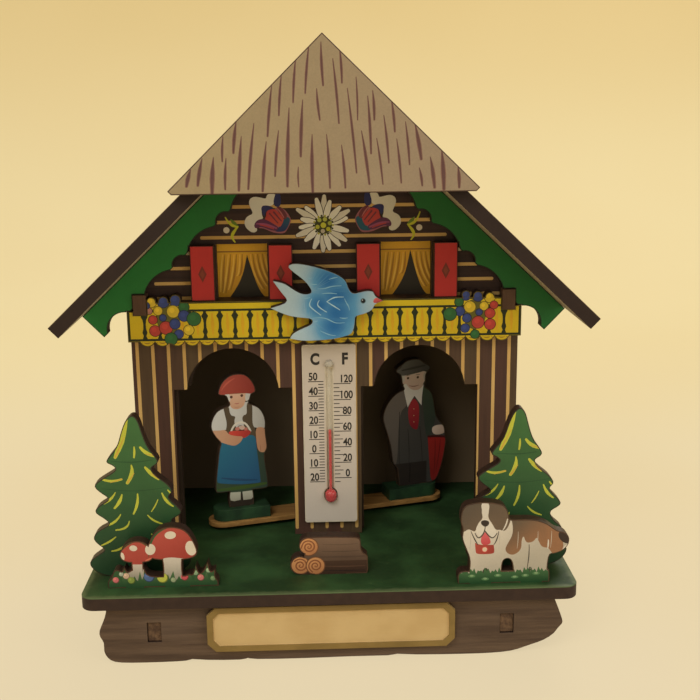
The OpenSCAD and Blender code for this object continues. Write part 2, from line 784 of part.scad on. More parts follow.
module adjusting_peg() {
    grooves = 20;
    shank_h = sheet_t + peg_below + peg_lift;
    knob_z = bar_z + sheet_t + peg_lift;
    color("gold") translate([0, arm_y, 0]) difference() {
        union() {
            translate([0, 0, bar_z - peg_below]) cylinder(r = peg_r, h = shank_h + skin);
            translate([0, 0, knob_z]) linear_extrude(knob_h) difference() {
                circle(knob_r);
                for (i = [0 : grooves - 1]) {
                    rotate(i * 360 / grooves) translate([knob_r + 0.15, 0]) circle(0.5, $fn = 16);
                }
            }
        }
        translate([0, 0, bar_z - peg_below - 1]) cylinder(r = gut_r + gut_fit, h = shank_h + knob_h + 2);
    }
}

hub_r = 3.2;
hub_h = 6;
knot_gap = 0.3;

// Everything on the arm is drawn along X and then turned to the photographed angle
module on_arm() {
    translate([0, arm_y, 0]) rotate(rest_yaw) children();
}

module gut() {
    knob_top_z = bar_z + sheet_t + peg_lift + knob_h;
    knot_r = 0.9;
    color("khaki") translate([0, arm_y, 0]) union() {
        translate([0, 0, arm_top_z]) cylinder(r = gut_r, h = knob_top_z + knot_gap + knot_r - arm_top_z);
        translate([0, 0, knob_top_z + knot_gap + knot_r]) sphere(knot_r);
    }
}

module arm_hub() {
    color("gold") on_arm() translate([0, 0, arm_top_z]) difference() {
        union() {
            cylinder(r = hub_r, h = hub_h - 2);
            cylinder(r = hub_r * 0.6, h = hub_h);
        }
        translate([0, 0, -1]) cylinder(r = gut_r + 0.02, h = hub_h + 2);
    }
}

module figure_arm() {
    r = arm_w / 2;
    color("goldenrod") on_arm() flat_board(arm_top_z - arm_t, arm_t) union() {
        square([arm_l - arm_w, arm_w], center = true);
        for (s = [-1, 1]) {
            translate([s * (arm_l / 2 - r), 0]) circle(r);
        }
    }
}

foot_tab_w = 6;

// A stand with its outer end rounded like the arm's, and a slot for the figure's tab
module stand(side) {
    r = stand_w / 2;
    color("seagreen") on_arm() translate([side * figure_r, 0]) mirror([side > 0 ? 0 : 1, 0, 0])
        flat_board(arm_top_z) difference() {
            union() {
                translate([-stand_l / 2, -r]) square([stand_l - r, stand_w]);
                translate([stand_l / 2 - r, 0]) circle(r);
            }
            square([foot_tab_w + 2 * slot_fit, figure_t + 2 * slot_fit], center = true);
        }
}

// A figure's board on its stand, drawn from the stand's top up with its middle at shift
module figure_board(x, outline, shift = 0) {
    on_arm() translate([x, 0, 0]) front_board(-figure_t / 2, figure_t) {
        translate([shift, stand_top_z]) polygon(curve(outline));
        translate([-foot_tab_w / 2, arm_top_z]) square([foot_tab_w, sheet_t + skin]);
    }
}

woman_outline = [
    [-4.1, 0], [-4.1, 0], [-4.3, 3], [-3.9, 5.5], [-3.9, 5.5], [-8, 5.4], [-8.7, 6.2], [-8.3, 11],
    [-7.4, 17],
    [-6.7, 21.4], [-6, 22.6], [-8, 24.8], [-9.6, 28.2], [-8.8, 31.4], [-7, 33.9], [-4.8, 34.6],
    [-2.6, 35.2],
    [-3.4, 36.8], [-3.8, 38.7], [-6.7, 38.9], [-6.4, 40.6], [-5.4, 43], [-3, 45.2], [0, 45.8], [3, 45.2],
    [5, 42.8], [6, 40.4], [5.9, 38.7], [4.4, 38.6], [4, 36.6], [3.3, 35.2], [5.2, 34.7], [7.6, 33.2],
    [9.2, 29.2],
    [8.8, 25.4], [9.2, 22], [9.5, 19.2], [8.2, 17.6], [8.6, 13.6], [9.5, 6.2], [9, 5.2], [4, 5.2], [4, 5.2],
    [4.3, 3], [4.1, 0], [4.1, 0]
];

man_outline = [
    [-5.3, 0], [-5.3, 0], [-5.7, 7], [-7.8, 8.4], [-8.2, 14], [-9.6, 19.6], [-11.5, 25], [-10.4, 29],
    [-8.4, 32],
    [-5.7, 34.2], [-3, 34.8], [-4.3, 36.4], [-4.4, 40.2], [-6.5, 41], [-6.2, 42.6], [-4.2, 43.7],
    [-2.8, 45],
    [0, 45.5], [2.6, 45.2], [3.8, 43.8], [6.4, 42.6], [6.3, 41.2], [4.5, 40], [4.5, 36.4], [4.2, 35],
    [6.4, 33.8], [7.6, 31], [8.4, 23.6], [11.8, 20.6], [12, 17], [12.5, 15], [11.4, 8], [9.2, 1.2],
    [7.4, 0.2],
    [6.6, 0], [6.6, 0]
];

module woman() {
    color("royalblue") figure_board(-figure_r, woman_outline);
}

module man() {
    color("dimgray") figure_board(figure_r, man_outline, 0.5);
}

lawn_base();
plinth_front();
plinth_back();
rail(-1);  // rail_left
rail(1);  // rail_right
name_plate();
front_wall();
wall_lining();
back_panel();
side_wall(-1);  // side_wall_left
side_wall(1);  // side_wall_right
balcony();
curtain(-1);  // curtain_left
curtain(1);  // curtain_right
shutter(-1, -1);  // shutter_left_outer
shutter(-1, 1);  // shutter_left_inner
shutter(1, -1);  // shutter_right_inner
shutter(1, 1);  // shutter_right_outer
roof_left();
roof_right();
thatch_gable();
bargeboard_left();
bargeboard_right();
bird();
thermometer_plate();
thermometer_tube();
thermometer_spirit();
tube_glue();
tree(tree_left_x);  // tree_left
tree(tree_right_x);  // tree_right
mushrooms();
dog();
log_pile();
gut_bar();
bar_cleat();
adjusting_peg();
gut();
arm_hub();
figure_arm();
stand(-1);  // stand_woman
stand(1);  // stand_man
woman();
man();
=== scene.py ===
import math
from functools import partialmethod

import bmesh
import bpy
import numpy as np
from mathutils import Matrix, Vector
from mathutils.geometry import delaunay_2d_cdt


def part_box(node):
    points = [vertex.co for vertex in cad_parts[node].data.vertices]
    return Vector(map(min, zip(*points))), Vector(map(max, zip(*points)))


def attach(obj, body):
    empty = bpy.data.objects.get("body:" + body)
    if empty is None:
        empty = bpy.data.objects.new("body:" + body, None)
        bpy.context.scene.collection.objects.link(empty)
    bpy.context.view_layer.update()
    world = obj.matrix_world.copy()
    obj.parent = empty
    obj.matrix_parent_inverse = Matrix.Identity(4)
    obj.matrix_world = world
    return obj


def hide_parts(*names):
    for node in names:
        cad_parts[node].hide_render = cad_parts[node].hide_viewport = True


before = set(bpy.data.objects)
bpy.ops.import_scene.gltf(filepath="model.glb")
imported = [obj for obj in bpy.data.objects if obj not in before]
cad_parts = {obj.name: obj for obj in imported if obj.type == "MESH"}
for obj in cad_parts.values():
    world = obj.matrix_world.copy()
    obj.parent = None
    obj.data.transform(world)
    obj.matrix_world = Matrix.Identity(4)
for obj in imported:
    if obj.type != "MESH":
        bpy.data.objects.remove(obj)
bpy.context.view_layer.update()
MM = 0.001


# Camera
# It stands a third of a metre in front, a little lower than the ridge, and looks 13 degrees down.
camera_place = (-2.73 * MM, -333.49 * MM, 160.99 * MM)
camera_yaw = 0.03172
camera_pitch = 0.22783
camera_roll = -0.01121
look = Vector((
    math.sin(camera_yaw) * math.cos(camera_pitch),
    math.cos(camera_yaw) * math.cos(camera_pitch),
    -math.sin(camera_pitch),
))
level_right = Vector((math.cos(camera_yaw), -math.sin(camera_yaw), 0))
level_up = level_right.cross(look)
right = math.cos(camera_roll) * level_right + math.sin(camera_roll) * level_up
up = math.cos(camera_roll) * level_up - math.sin(camera_roll) * level_right
lens = bpy.data.cameras.new("camera")
lens.sensor_width = 36
lens.lens = 54.73
lens.clip_start = 0.01


def placed(name, data):
    """A new object in the scene that holds the data."""
    thing = bpy.data.objects.new(name, data)
    bpy.context.scene.collection.objects.link(thing)
    return thing


camera = placed("camera", lens)
turned = Matrix((right, up, -look)).transposed().to_4x4()
camera.matrix_world = Matrix.Translation(camera_place) @ turned
bpy.context.scene.camera = camera
bpy.context.scene.view_settings.view_transform = "Standard"


# Stage
# A pale sweep of paper that rises behind the house, and three soft lamps: the main one high on the
# left in front, a weak one on the right and one behind. The paper's finish is the first that is
# worked out from a surface's own coordinates, in millimetres.
def srgb(red, green, blue):
    """A colour from 0 to 255 as light values with an alpha of 1."""
    part = np.array((red, green, blue)) / 255
    light = np.where(part <= 0.04045, part / 12.92, ((part + 0.055) / 1.055) ** 2.4)
    return (*light.tolist(), 1)


class Value:
    """A number that varies over a surface, held by a socket of a finish's nodes."""

    def __init__(self, finish, socket):
        self.finish = finish
        self.socket = socket

    def math(self, operation, *others):
        return self.finish.node("Math", {"operation": operation}, dict(enumerate((self, *others))))

    __add__ = __radd__ = partialmethod(math, "ADD")
    __mul__ = __rmul__ = partialmethod(math, "MULTIPLY")
    __sub__ = partialmethod(math, "SUBTRACT")
    __truediv__ = partialmethod(math, "DIVIDE")
    __lt__ = partialmethod(math, "LESS_THAN")
    __gt__ = partialmethod(math, "GREATER_THAN")
    size = partialmethod(math, "ABSOLUTE")
    root = partialmethod(math, "SQRT")
    least = partialmethod(math, "MINIMUM")
    most = partialmethod(math, "MAXIMUM")
    whole = partialmethod(math, "FLOOR")

    def __rsub__(self, other):
        return self.finish.node("Math", {"operation": "SUBTRACT"}, {0: other, 1: self})

    def ramp(self, low, high):
        """0 below low, 1 above high and smooth between them."""
        inputs = {"Value": self, "From Min": low, "From Max": high}
        return self.finish.node("MapRange", {"interpolation_type": "SMOOTHSTEP"}, inputs)


class Graph:
    """The nodes of a material or of the world."""

    def __init__(self, tree):
        self.tree = tree

    def node(self, kind, settings, inputs, output=0):
        """Adds a node. The settings come first, then a value or a link for each socket."""
        node = self.tree.nodes.new("ShaderNode" + kind)
        for key, value in settings.items():
            setattr(node, key, value)
        for key, value in inputs.items():
            if isinstance(value, Value):
                self.tree.links.new(value.socket, node.inputs[key])
            else:
                node.inputs[key].default_value = value
        return node if output is None else Value(self, node.outputs[output])


board_gloss = 0.25


class Finish(Graph):
    """A procedural material on the object's own coordinates."""

    def __init__(self, name, **fixed):
        self.material = bpy.data.materials.new(name)
        self.material.use_nodes = True
        super().__init__(self.material.node_tree)
        self.surface = self.tree.nodes["Principled BSDF"]
        for socket, value in {"Specular IOR Level": board_gloss, **fixed}.items():
            self.surface.inputs[socket.replace("_", " ")].default_value = value
        place = self.node("TexCoord", {}, {}, "Object")
        self.vector = self.node("VectorMath", {"operation": "SCALE"}, {0: place, "Scale": 1000})
        parts = self.node("SeparateXYZ", {}, {0: self.vector}, None)
        self.x, self.y, self.z = (Value(self, socket) for socket in parts.outputs)

    def noise(self, across, detail=3, seed=0, rough=0.5):
        """Soft noise from 0 to 1 with cells of the given sizes, in millimetres, along X, Y and Z."""
        scale = tuple(1 / size for size in across)
        cells = self.node("VectorMath", {"operation": "MULTIPLY"}, {0: self.vector, 1: scale})
        step = (seed * 7.3, seed * 3.1, seed * 5.7)
        moved = self.node("VectorMath", {"operation": "ADD"}, {0: cells, 1: step})
        inputs = {"Vector": moved, "Scale": 1, "Detail": detail, "Roughness": rough}
        return self.node("TexNoise", {}, inputs)

    def chance(self, number):
        """A steady random number from 0 to 1 for each whole number."""
        return self.node("TexWhiteNoise", {"noise_dimensions": "1D"}, {"W": number})

    def mix(self, factor, first, second):
        """The first colour where factor is 0 and the second where it is 1."""
        node = self.node("Mix", {"data_type": "RGBA"}, {0: factor}, None)
        for socket, colour in ((node.inputs[6], first), (node.inputs[7], second)):
            if isinstance(colour, Value):
                self.tree.links.new(colour.socket, socket)
            else:
                socket.default_value = colour
        return Value(self, node.outputs[2])

    def finished(self, colour=None, rough=None, height=None, depth=0.02):
        """Joins colour, roughness and a height in units of depth, in millimetres, to the surface."""
        inputs = self.surface.inputs
        if colour is not None:
            self.tree.links.new(colour.socket, inputs["Base Color"])
        if rough is not None:
            self.tree.links.new(rough.socket, inputs["Roughness"])
        if height is not None:
            bump = self.node("Bump", {}, {"Height": height, "Distance": depth * MM, "Strength": 1})
            self.tree.links.new(bump.socket, inputs["Normal"])
        return self.material


def sweep_sheet(half_width, front, back, radius, top):
    """A floor that turns up through a quarter circle: y = back + r sin(t), z = r (1 - cos(t))."""
    turn = np.linspace(0, math.pi / 2, 24)
    along = np.concatenate(([front], back + radius * np.sin(turn), [back + radius]))
    height = np.concatenate(([0], radius * (1 - np.cos(turn)), [top]))
    count = len(along)
    points = np.zeros((2, count, 3))
    points[0, :, 0], points[1, :, 0] = -half_width, half_width
    points[:, :, 1], points[:, :, 2] = along, height
    first = np.arange(count - 1)
    faces = np.stack((first, first + count, first + count + 1, first + 1), 1)
    mesh = bpy.data.meshes.new("sweep")
    mesh.from_pydata(points.reshape(-1, 3).tolist(), [], faces.tolist())
    mesh.polygons.foreach_set("use_smooth", np.ones(len(faces), bool))
    return placed("sweep", mesh)


def seen_ray(graph):
    """1 where the backdrop is seen, straight on or by gloss or glass, and 0 where it gives light."""
    path = graph.node("LightPath", {}, {}, None)
    kinds = ("Is Camera Ray", "Is Glossy Ray", "Is Transmission Ray")
    straight, glossy, through = (Value(graph, path.outputs[kind]) for kind in kinds)
    return (straight + glossy + through).least(1)


paper_colour = srgb(241, 221, 168)
paper = Finish("paper", Roughness=0.9, Specular_IOR_Level=0.1)
clouds = paper.noise((300, 300, 300), 2, 4)
paper_tint = paper.mix(paper.y.ramp(-100, 450), srgb(235, 218, 182), paper_colour)
paper_tint = paper.mix(paper.z.ramp(10, 320), paper_tint, srgb(226, 198, 136))
paper_tint = paper.mix(clouds.ramp(0.3, 0.7) * 0.3, paper_tint, srgb(236, 210, 152))
paper.finished(paper_tint)
glow = paper.node("Emission", {}, {"Color": paper_tint, "Strength": 1})
lit = Value(paper, paper.surface.outputs[0])
glow_share = 0.8
both = paper.node("MixShader", {}, {0: seen_ray(paper) * glow_share, 1: lit, 2: glow})
paper.tree.links.new(both.socket, paper.tree.nodes["Material Output"].inputs[0])
floor = sweep_sheet(3, -1.5, 0.5, 0.5, 2.5)
floor.data.materials.append(paper.material)

world = bpy.data.worlds.new("room")
world.use_nodes = True
room = Graph(world.node_tree)
daylight = room.node("Background", {}, {"Color": srgb(255, 246, 226), "Strength": 0.5})
far_paper = room.node("Background", {}, {"Color": srgb(237, 217, 174), "Strength": 1})
sky = room.node("MixShader", {}, {0: seen_ray(room), 1: daylight, 2: far_paper})
room.tree.links.new(sky.socket, room.tree.nodes["World Output"].inputs[0])
bpy.context.scene.world = world


def soft_lamp(name, place, target, size, watts):
    """A square area lamp of the given side that faces target."""
    data = bpy.data.lights.new(name, "AREA")
    data.size = size
    data.energy = watts
    lamp = placed(name, data)
    lamp.location = place
    lamp.rotation_euler = (Vector(target) - Vector(place)).to_track_quat("-Z", "Y").to_euler()


soft_lamp("key", (-0.38, -0.72, 0.78), (0, 0, 0.09), 0.5, 4.5)
soft_lamp("fill", (0.7, -0.6, 0.35), (0, 0, 0.09), 0.6, 2)
soft_lamp("back", (0.3, 0.9, 0.7), (0, 0, 0.1), 0.6, 5)


# Lawn
# A board that lies flat under the house. Its top is painted in mottled greens and worn pale along the
# rim. Its edge, like every board's, is dark from the cut and very slightly eased.
cut_brown = srgb(62, 44, 34)
ease_width = 0.15 * MM


def fastened(piece, body="house", node=None):
    """The piece rides on the body and stands for the node if one is given."""
    if node:
        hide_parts(node)
    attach(piece, body)


def cut_board(node, finish, body="house", ease=ease_width):
    """A merged copy of the node's solid with eased edges that stands for the node."""
    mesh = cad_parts[node].data.copy()
    mesh.name = node + "_board"
    solid = bmesh.new()
    solid.from_mesh(mesh)
    bmesh.ops.remove_doubles(solid, verts=solid.verts, dist=0.001 * MM)
    bmesh.ops.dissolve_limit(solid, angle_limit=math.radians(0.5), verts=solid.verts, edges=solid.edges)
    solid.to_mesh(mesh)
    solid.free()
    mesh.polygons.foreach_set("use_smooth", np.ones(len(mesh.polygons), bool))
    mesh.set_sharp_from_angle(angle=math.radians(35))
    mesh.materials.clear()
    mesh.materials.append(finish)
    piece = placed(node + "_board", mesh)
    bevel = piece.modifiers.new("ease", "BEVEL")
    bevel.width = ease
    bevel.segments = 2
    bevel.limit_method = "ANGLE"
    bevel.angle_limit = math.radians(50)
    bevel.harden_normals = True
    fastened(piece, body, node)


def millimetres(node):
    """The node's lowest and highest corners in millimetres."""
    low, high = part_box(node)
    return np.array(low) / MM, np.array(high) / MM


def front_of(node):
    """The y of the node's front in millimetres."""
    return millimetres(node)[0][1]


lawn_high = millimetres("lawn_base")[1]
lawn = Finish("lawn_paint")
patches = lawn.noise((14, 14, 14), 4, 1)
flecks = lawn.noise((3, 3, 3), 4, 2)
grass = lawn.mix(patches.ramp(0.35, 0.7), srgb(34, 58, 30), srgb(52, 84, 46))
grass = lawn.mix(flecks.ramp(0.62, 0.85) * 0.5, grass, srgb(86, 112, 66))
rim_width = 2.2
side_room = lawn_high[0] - lawn.x.size()
front_room = lawn_high[1] - lawn.y.size()
worn = 1 - (side_room.least(front_room) + (flecks - 0.5) * 2).ramp(0.6, rim_width)
grass = lawn.mix(worn * 0.5, grass, srgb(112, 124, 84))
under = lawn.z < lawn_high[2] - 0.3
soot = lawn.mix(flecks, cut_brown, srgb(38, 26, 22))
lawn.finished(lawn.mix(under, grass, soot), 0.45 + flecks * 0.25, patches + flecks * 0.4, 0.05)
cut_board("lawn_base", lawn.material)


# Plinth
# Two upright boards cut to a ragged outline and printed with bark, and two rails between them
# whose tenons end in their slots.
plinth_front_y = front_of("plinth_front")
bark = Finish("bark_print")
long_grain = bark.noise((38, 4, 2.2), 5, 1, 0.6)
fine_grain = bark.noise((20, 2, 0.7), 4, 2, 0.6)
clouds = bark.noise((26, 8, 16), 2, 3)
wood = bark.mix(long_grain.ramp(0.3, 0.7), srgb(74, 57, 44), srgb(100, 80, 62))
wood = bark.mix(fine_grain.ramp(0.55, 0.75) * 0.5, wood, srgb(66, 48, 40))
wood = bark.mix(clouds.ramp(0.4, 0.8) * 0.35, wood, srgb(110, 92, 78))
face_reach = 0.25
front_face = bark.y < plinth_front_y + face_reach
back_face = bark.y > -plinth_front_y - face_reach
char = bark.mix(fine_grain, cut_brown, srgb(40, 28, 24))
bark.finished(bark.mix(front_face.most(back_face), char, wood), 0.5 + long_grain * 0.25,
              long_grain + fine_grain, 0.08)
for plinth in ("plinth_front", "plinth_back"):
    cut_board(plinth, bark.material)


def bare_wood(name, pale, dark, along, seed=0):
    """Bare sanded board with its grain along one axis: long streaks with finer ones in them."""
    finish = Finish(name)
    sizes = [1.6, 1.6, 1.6]
    sizes["XYZ".index(along)] = 30
    fine = [size * 0.3 for size in sizes]
    streaks = finish.noise(sizes, 4, seed, 0.6)
    pores = finish.noise(fine, 3, seed + 1)
    colour = finish.mix(streaks.ramp(0.3, 0.7), pale, dark)
    colour = finish.mix(pores.ramp(0.6, 0.8) * 0.4, colour,
                        tuple(part * 0.5 for part in dark[:3]) + (1,))
    return finish.finished(colour, 0.55 + streaks * 0.2, streaks * 0.6 + pores * 0.4, 0.04)


rail_wood = bare_wood("rail_wood", srgb(112, 86, 62), srgb(72, 52, 38), "Y", 3)
for rail in ("rail_left", "rail_right"):
    cut_board(rail, rail_wood)


# Name plate
# A plate of thin board with a raised rim, painted gold and glued on the plinth. Its field is bare.
plate_front = front_of("name_plate")
gold = Finish("name_gold")
field_recess = 0.3
rim_depth = 0.85
cloud = gold.noise((12, 12, 8), 4, 5)
brushed = gold.noise((9, 1, 0.5), 3, 6)
field = gold.mix(cloud.ramp(0.3, 0.7), srgb(196, 164, 110), srgb(206, 176, 122))
rim = gold.mix(cloud.ramp(0.3, 0.7), srgb(126, 102, 54), srgb(140, 114, 62))
shade = gold.mix(gold.y > plate_front + field_recess, rim, field)
shade = gold.mix(gold.y > plate_front + rim_depth, shade, srgb(96, 72, 40))
gold.finished(shade, 0.42 + brushed * 0.2, cloud + brushed, 0.03)
cut_board("name_plate", gold.material)


# Walls
# The front wall is printed with planks: upright ones with cream joints under the balcony and level
# ones in the gable. Behind its doorways is a second board, stained dark. Stained side walls, whose
# tenons end in the front wall and in the back panel, close the rooms. Their faces and the back
# panel's towards the rooms are painted a paler brown, as painted light for the shaded rooms.
wall_low, wall_high = millimetres("front_wall")
joint_pitch = 4.9
joint_radius = 0.52
joint_middle = -0.5
joint_foot = 25.4
level_pitch = 4.68
level_first = 102.4
level_ends = 12.8
window_x = 25.5
frame_half_w = 9.6
frame_z0 = 100.5
frame_z1 = 120.4
slope_top = wall_high[2]
roof_pitch = math.radians(43.5)


def edge_rim(finish, face, colour):
    """The colour on a front face at y = face, and the cut's brown behind it."""
    smoke = finish.noise((3, 3, 3), 3, 9)
    burnt = finish.mix(smoke, cut_brown, tuple(part * 0.6 for part in cut_brown[:3]) + (1,))
    return finish.mix(finish.y > face + face_reach, colour, burnt)


def plank_print():
    """Cream joints between brown planks: the distance to the nearest joint makes its round ends."""
    wall = Finish("wall_print")
    across = (wall.x - joint_middle) / joint_pitch + 0.5
    plank = (across + 0.5).whole()
    offset = (across - across.whole() - 0.5) * joint_pitch
    below = (joint_foot - wall.z).most(0)
    upright = (offset * offset + below * below).root() < joint_radius
    rise = (wall.z - level_first) / level_pitch + 0.5
    drift = (rise - rise.whole() - 0.5) * level_pitch
    row_z = wall.z - drift
    past = (wall.x.size() - ((slope_top - row_z) / math.tan(roof_pitch) - level_ends)).most(0)
    level = (drift * drift + past * past).root() < joint_radius
    by_window = (wall.x.size() - window_x).size() < frame_half_w
    by_window = by_window * (wall.z > frame_z0) * (wall.z < frame_z1)
    level = level * (1 - by_window)
    tone = wall.noise((30, 4, 30), 3, 1)
    grain = wall.noise((1.2, 3, 22), 4, 2, 0.6)
    level_grain = wall.noise((26, 3, 1), 4, 3, 0.6)
    low_wood = wall.mix(wall.chance(plank).ramp(0.2, 0.8), srgb(78, 52, 42), srgb(84, 66, 44))
    low_wood = wall.mix(grain.ramp(0.35, 0.75) * 0.6, low_wood, srgb(62, 44, 34))
    high_wood = wall.mix(level_grain.ramp(0.3, 0.7), srgb(44, 28, 26), srgb(58, 38, 32))
    cream = wall.mix(tone.ramp(0.35, 0.65), srgb(208, 170, 104), srgb(194, 152, 84))
    gable = wall.z > level_first - level_pitch * 0.5
    wood = wall.mix(gable, low_wood, high_wood)
    joint = wall.node("Mix", {"data_type": "FLOAT"}, {0: gable, 2: upright, 3: level})
    colour = wall.mix(joint, wood, cream)
    colour = edge_rim(wall, wall_low[1], colour)
    return wall.finished(colour, 0.42 + grain * 0.25, grain * 0.4 + joint * 0.5, 0.04)


cut_board("front_wall", plank_print())


def stained_board(name, light, dark, seed=0):
    """Board stained in one dark tone, a little cloudy, with the grain upright."""
    finish = Finish(name)
    clouds = finish.noise((10, 10, 30), 3, seed)
    grain = finish.noise((1.2, 1.2, 20), 4, seed + 1, 0.6)
    colour = finish.mix(clouds.ramp(0.3, 0.7), light, dark)
    colour = finish.mix(grain.ramp(0.5, 0.75) * 0.5, colour,
                        tuple(part * 0.55 for part in dark[:3]) + (1,))
    return finish.finished(colour, 0.55 + grain * 0.2, grain, 0.04)


lining_stain = stained_board("lining_stain", srgb(66, 50, 36), srgb(50, 38, 28), 2)
cut_board("wall_lining", lining_stain)
lining_front = front_of("wall_lining")


def room_board(name, inner):
    """Brown stain outside; a paler brown, painted light, where inner finds faces towards the rooms."""
    finish = Finish(name)
    clouds = finish.noise((16, 16, 40), 3, 6)
    grain = finish.noise((1.2, 1.2, 24), 4, 7, 0.6)
    outside = finish.mix(clouds.ramp(0.3, 0.7), srgb(96, 70, 50), srgb(78, 56, 42))
    outside = finish.mix(grain.ramp(0.5, 0.75) * 0.5, outside, srgb(52, 36, 28))
    # The faces towards the rooms are painted paler than the stain: painted light for the shaded rooms.
    painted_light_inside = finish.mix(clouds, srgb(112, 94, 70), srgb(100, 84, 62))
    return finish.finished(finish.mix(inner(finish), outside, painted_light_inside), 0.55 + grain * 0.2, grain, 0.05)


inner_reach = 0.3
back_inner = front_of("back_panel") + inner_reach
back_stain_and_painted_light = room_board("back_stain_and_painted_light", lambda finish: finish.y < back_inner)
cut_board("back_panel", back_stain_and_painted_light)
side_inner = millimetres("side_wall_right")[0][0] + inner_reach


def faces_room(finish):
    """The side walls' faces towards the rooms, behind the lining."""
    return (finish.x.size() < side_inner) * (finish.y > lining_front)


side_stain_and_painted_light = room_board("side_stain_and_painted_light", faces_room)
for side_wall in ("side_wall_left", "side_wall_right"):
    cut_board(side_wall, side_stain_and_painted_light)


# Roof
# Two boards that meet at the ridge. Their outer faces are printed with straw and brush strokes
# like the gable's, the undersides are bare and pale, and the cut edges are dark.
ridge_z = millimetres("roof_right")[1][2]
roof = Finish("roof_stain")
board_thick = 4
roof_sine = math.sin(roof_pitch)
slope_room = (ridge_z - roof.z) * math.cos(roof_pitch) - roof.x.size() * roof_sine
straw_noise = roof.noise((8, 2.2, 8), 4, 1)
straw_fine = roof.noise((3, 0.6, 3), 3, 2)
straw = roof.mix(straw_noise.ramp(0.3, 0.7), srgb(156, 134, 98), srgb(166, 144, 108))
straw = roof.mix(straw_fine.ramp(0.55, 0.8) * 0.35, straw, srgb(132, 108, 80))
stroke_room = 2.9
stroke_run = 17
lane = roof.y / stroke_room
lane_number = lane.whole() + (roof.x > 0) * 61
fall = (ridge_z - roof.z) * (1 / roof_sine / stroke_run) + roof.chance(lane_number)
stroke_chance = roof.chance(lane_number * 37 + fall.whole())
stroke_reach = (fall - fall.whole()) / (stroke_chance * 0.35 + 0.5)
stroke_width = stroke_reach.ramp(0, 0.7) * (1 - stroke_reach.ramp(0.85, 1))
stroke_side = (lane - lane.whole() - 0.5 + (stroke_chance - 0.5) * 0.4).size()
straw = roof.mix(stroke_side < stroke_width * 0.16 + 0.02, straw, srgb(124, 94, 76))
straw = roof.mix(stroke_side < stroke_width * 0.11, straw, srgb(92, 64, 58))
cream = roof.mix(straw_noise, srgb(172, 158, 134), srgb(158, 144, 120))
dark_edge = roof.mix(straw_noise, srgb(43, 29, 22), srgb(36, 23, 18))
outer = slope_room < 0.1
inner = slope_room > board_thick - 0.05
colour = roof.mix(inner, dark_edge, cream)
colour = roof.mix(outer, colour, straw)
roof.finished(colour, 0.5 + straw_fine * 0.25, straw_noise + straw_fine, 0.04)
for slope in ("roof_left", "roof_right"):
    cut_board(slope, roof.material)


# Painted flowers
# Two tulips, an edelweiss between them and two sprigs, printed on the gable above the windows. A print
# is a thin film of ink on a board's face: shapes are laid over each other as on paper and cut into one
# flat sheet of triangles, in which each triangle keeps the ink of its topmost shape.
film_margin = 0.3
film_rise = 0.03
film_sunk = 0.02
curve_steps = 5


def spline(points, closed=True):
    """Quadratic B-spline: a(1 - t)^2 + 2bt(1 - t) + ct^2 between the sides' midpoints a and c."""
    corners = np.array(points, float)
    starts, ends = (np.roll(corners, 1, 0) + corners) / 2, (corners + np.roll(corners, -1, 0)) / 2
    if not closed:
        starts[1], ends[-2] = corners[0], corners[-1]
        starts, ends, corners = starts[1:-1], ends[1:-1], corners[1:-1]
    t = np.linspace(0, 1, curve_steps, endpoint=False)[None, :, None]
    curve = starts[:, None] * (1 - t) ** 2 + 2 * corners[:, None] * t * (1 - t) + ends[:, None] * t ** 2
    curve = curve.reshape(-1, 2)
    if not closed:
        curve = np.concatenate((curve, ends[-1:]))
    kept = np.hypot(*(curve - np.roll(curve, 1, 0)).T) > 0.01
    return curve[kept] if closed else curve[np.concatenate(([True], kept[1:]))]


def stroke(points, *widths):
    """A brush stroke: a curve moved by half the width to both sides, with a half circle at each end."""
    points = np.array(points, float)
    middle = spline(points, False) if len(points) > 2 else np.linspace(*points, curve_steps)
    step = np.gradient(middle, axis=0)
    ahead = step / np.hypot(*step.T)[:, None]
    side = np.stack((-ahead[:, 1], ahead[:, 0]), 1)
    run = np.linspace(0, 1, len(middle))
    half = np.interp(run, np.linspace(0, 1, len(widths)), widths)[:, None] / 2
    turn = np.linspace(0, math.pi, 7)[1:-1, None]
    far = middle[-1] + half[-1] * (ahead[-1] * np.sin(turn) - side[-1] * np.cos(turn))
    near = middle[0] + half[0] * (side[0] * np.cos(turn) - ahead[0] * np.sin(turn))
    return np.concatenate((middle - side * half, far, (middle + side * half)[::-1], near))


def oval(x, z, across, high=None, lean=0):
    """An ellipse (a cos(t), b sin(t)) with the given half sizes, leaning by some degrees."""
    turn = np.linspace(0, 2 * math.pi, 20, endpoint=False)
    round_points = np.stack((across * np.cos(turn), (high or across) * np.sin(turn)), 1)
    cosine, sine = math.cos(math.radians(lean)), math.sin(math.radians(lean))
    return round_points @ np.array(((cosine, sine), (-sine, cosine))) + (x, z)


def block(x0, z0, x1, z1):
    """An upright rectangle between two corners."""
    return np.array(((x0, z0), (x1, z0), (x1, z1), (x0, z1)))


def mirrored(outline, middle):
    """The outline mirrored about the upright line x = middle."""
    return np.array(outline) * (-1, 1) + (2 * middle, 0)


def flat(red, green, blue):
    """Ink of one colour."""
    colour = np.array(srgb(red, green, blue))
    return lambda places: np.broadcast_to(colour, (*places.shape[:-1], 4))


def fade(first, second, start, end):
    """Ink from the first colour at start to the second at end, by the share of the way between."""
    colours = np.array((srgb(*first), srgb(*second)))
    start, way = np.array(start), np.subtract(end, start)
    return lambda places: colours[0] + (colours[1] - colours[0]) * np.clip(
        (places - start) @ way / (way @ way), 0, 1)[..., None]


def doubled_area(outline):
    """Twice the area, above 0 for an anticlockwise outline: the sum of x1 z2 - x2 z1."""
    after = np.roll(outline, -1, 0)
    return (outline[:, 0] * after[:, 1] - after[:, 0] * outline[:, 1]).sum()


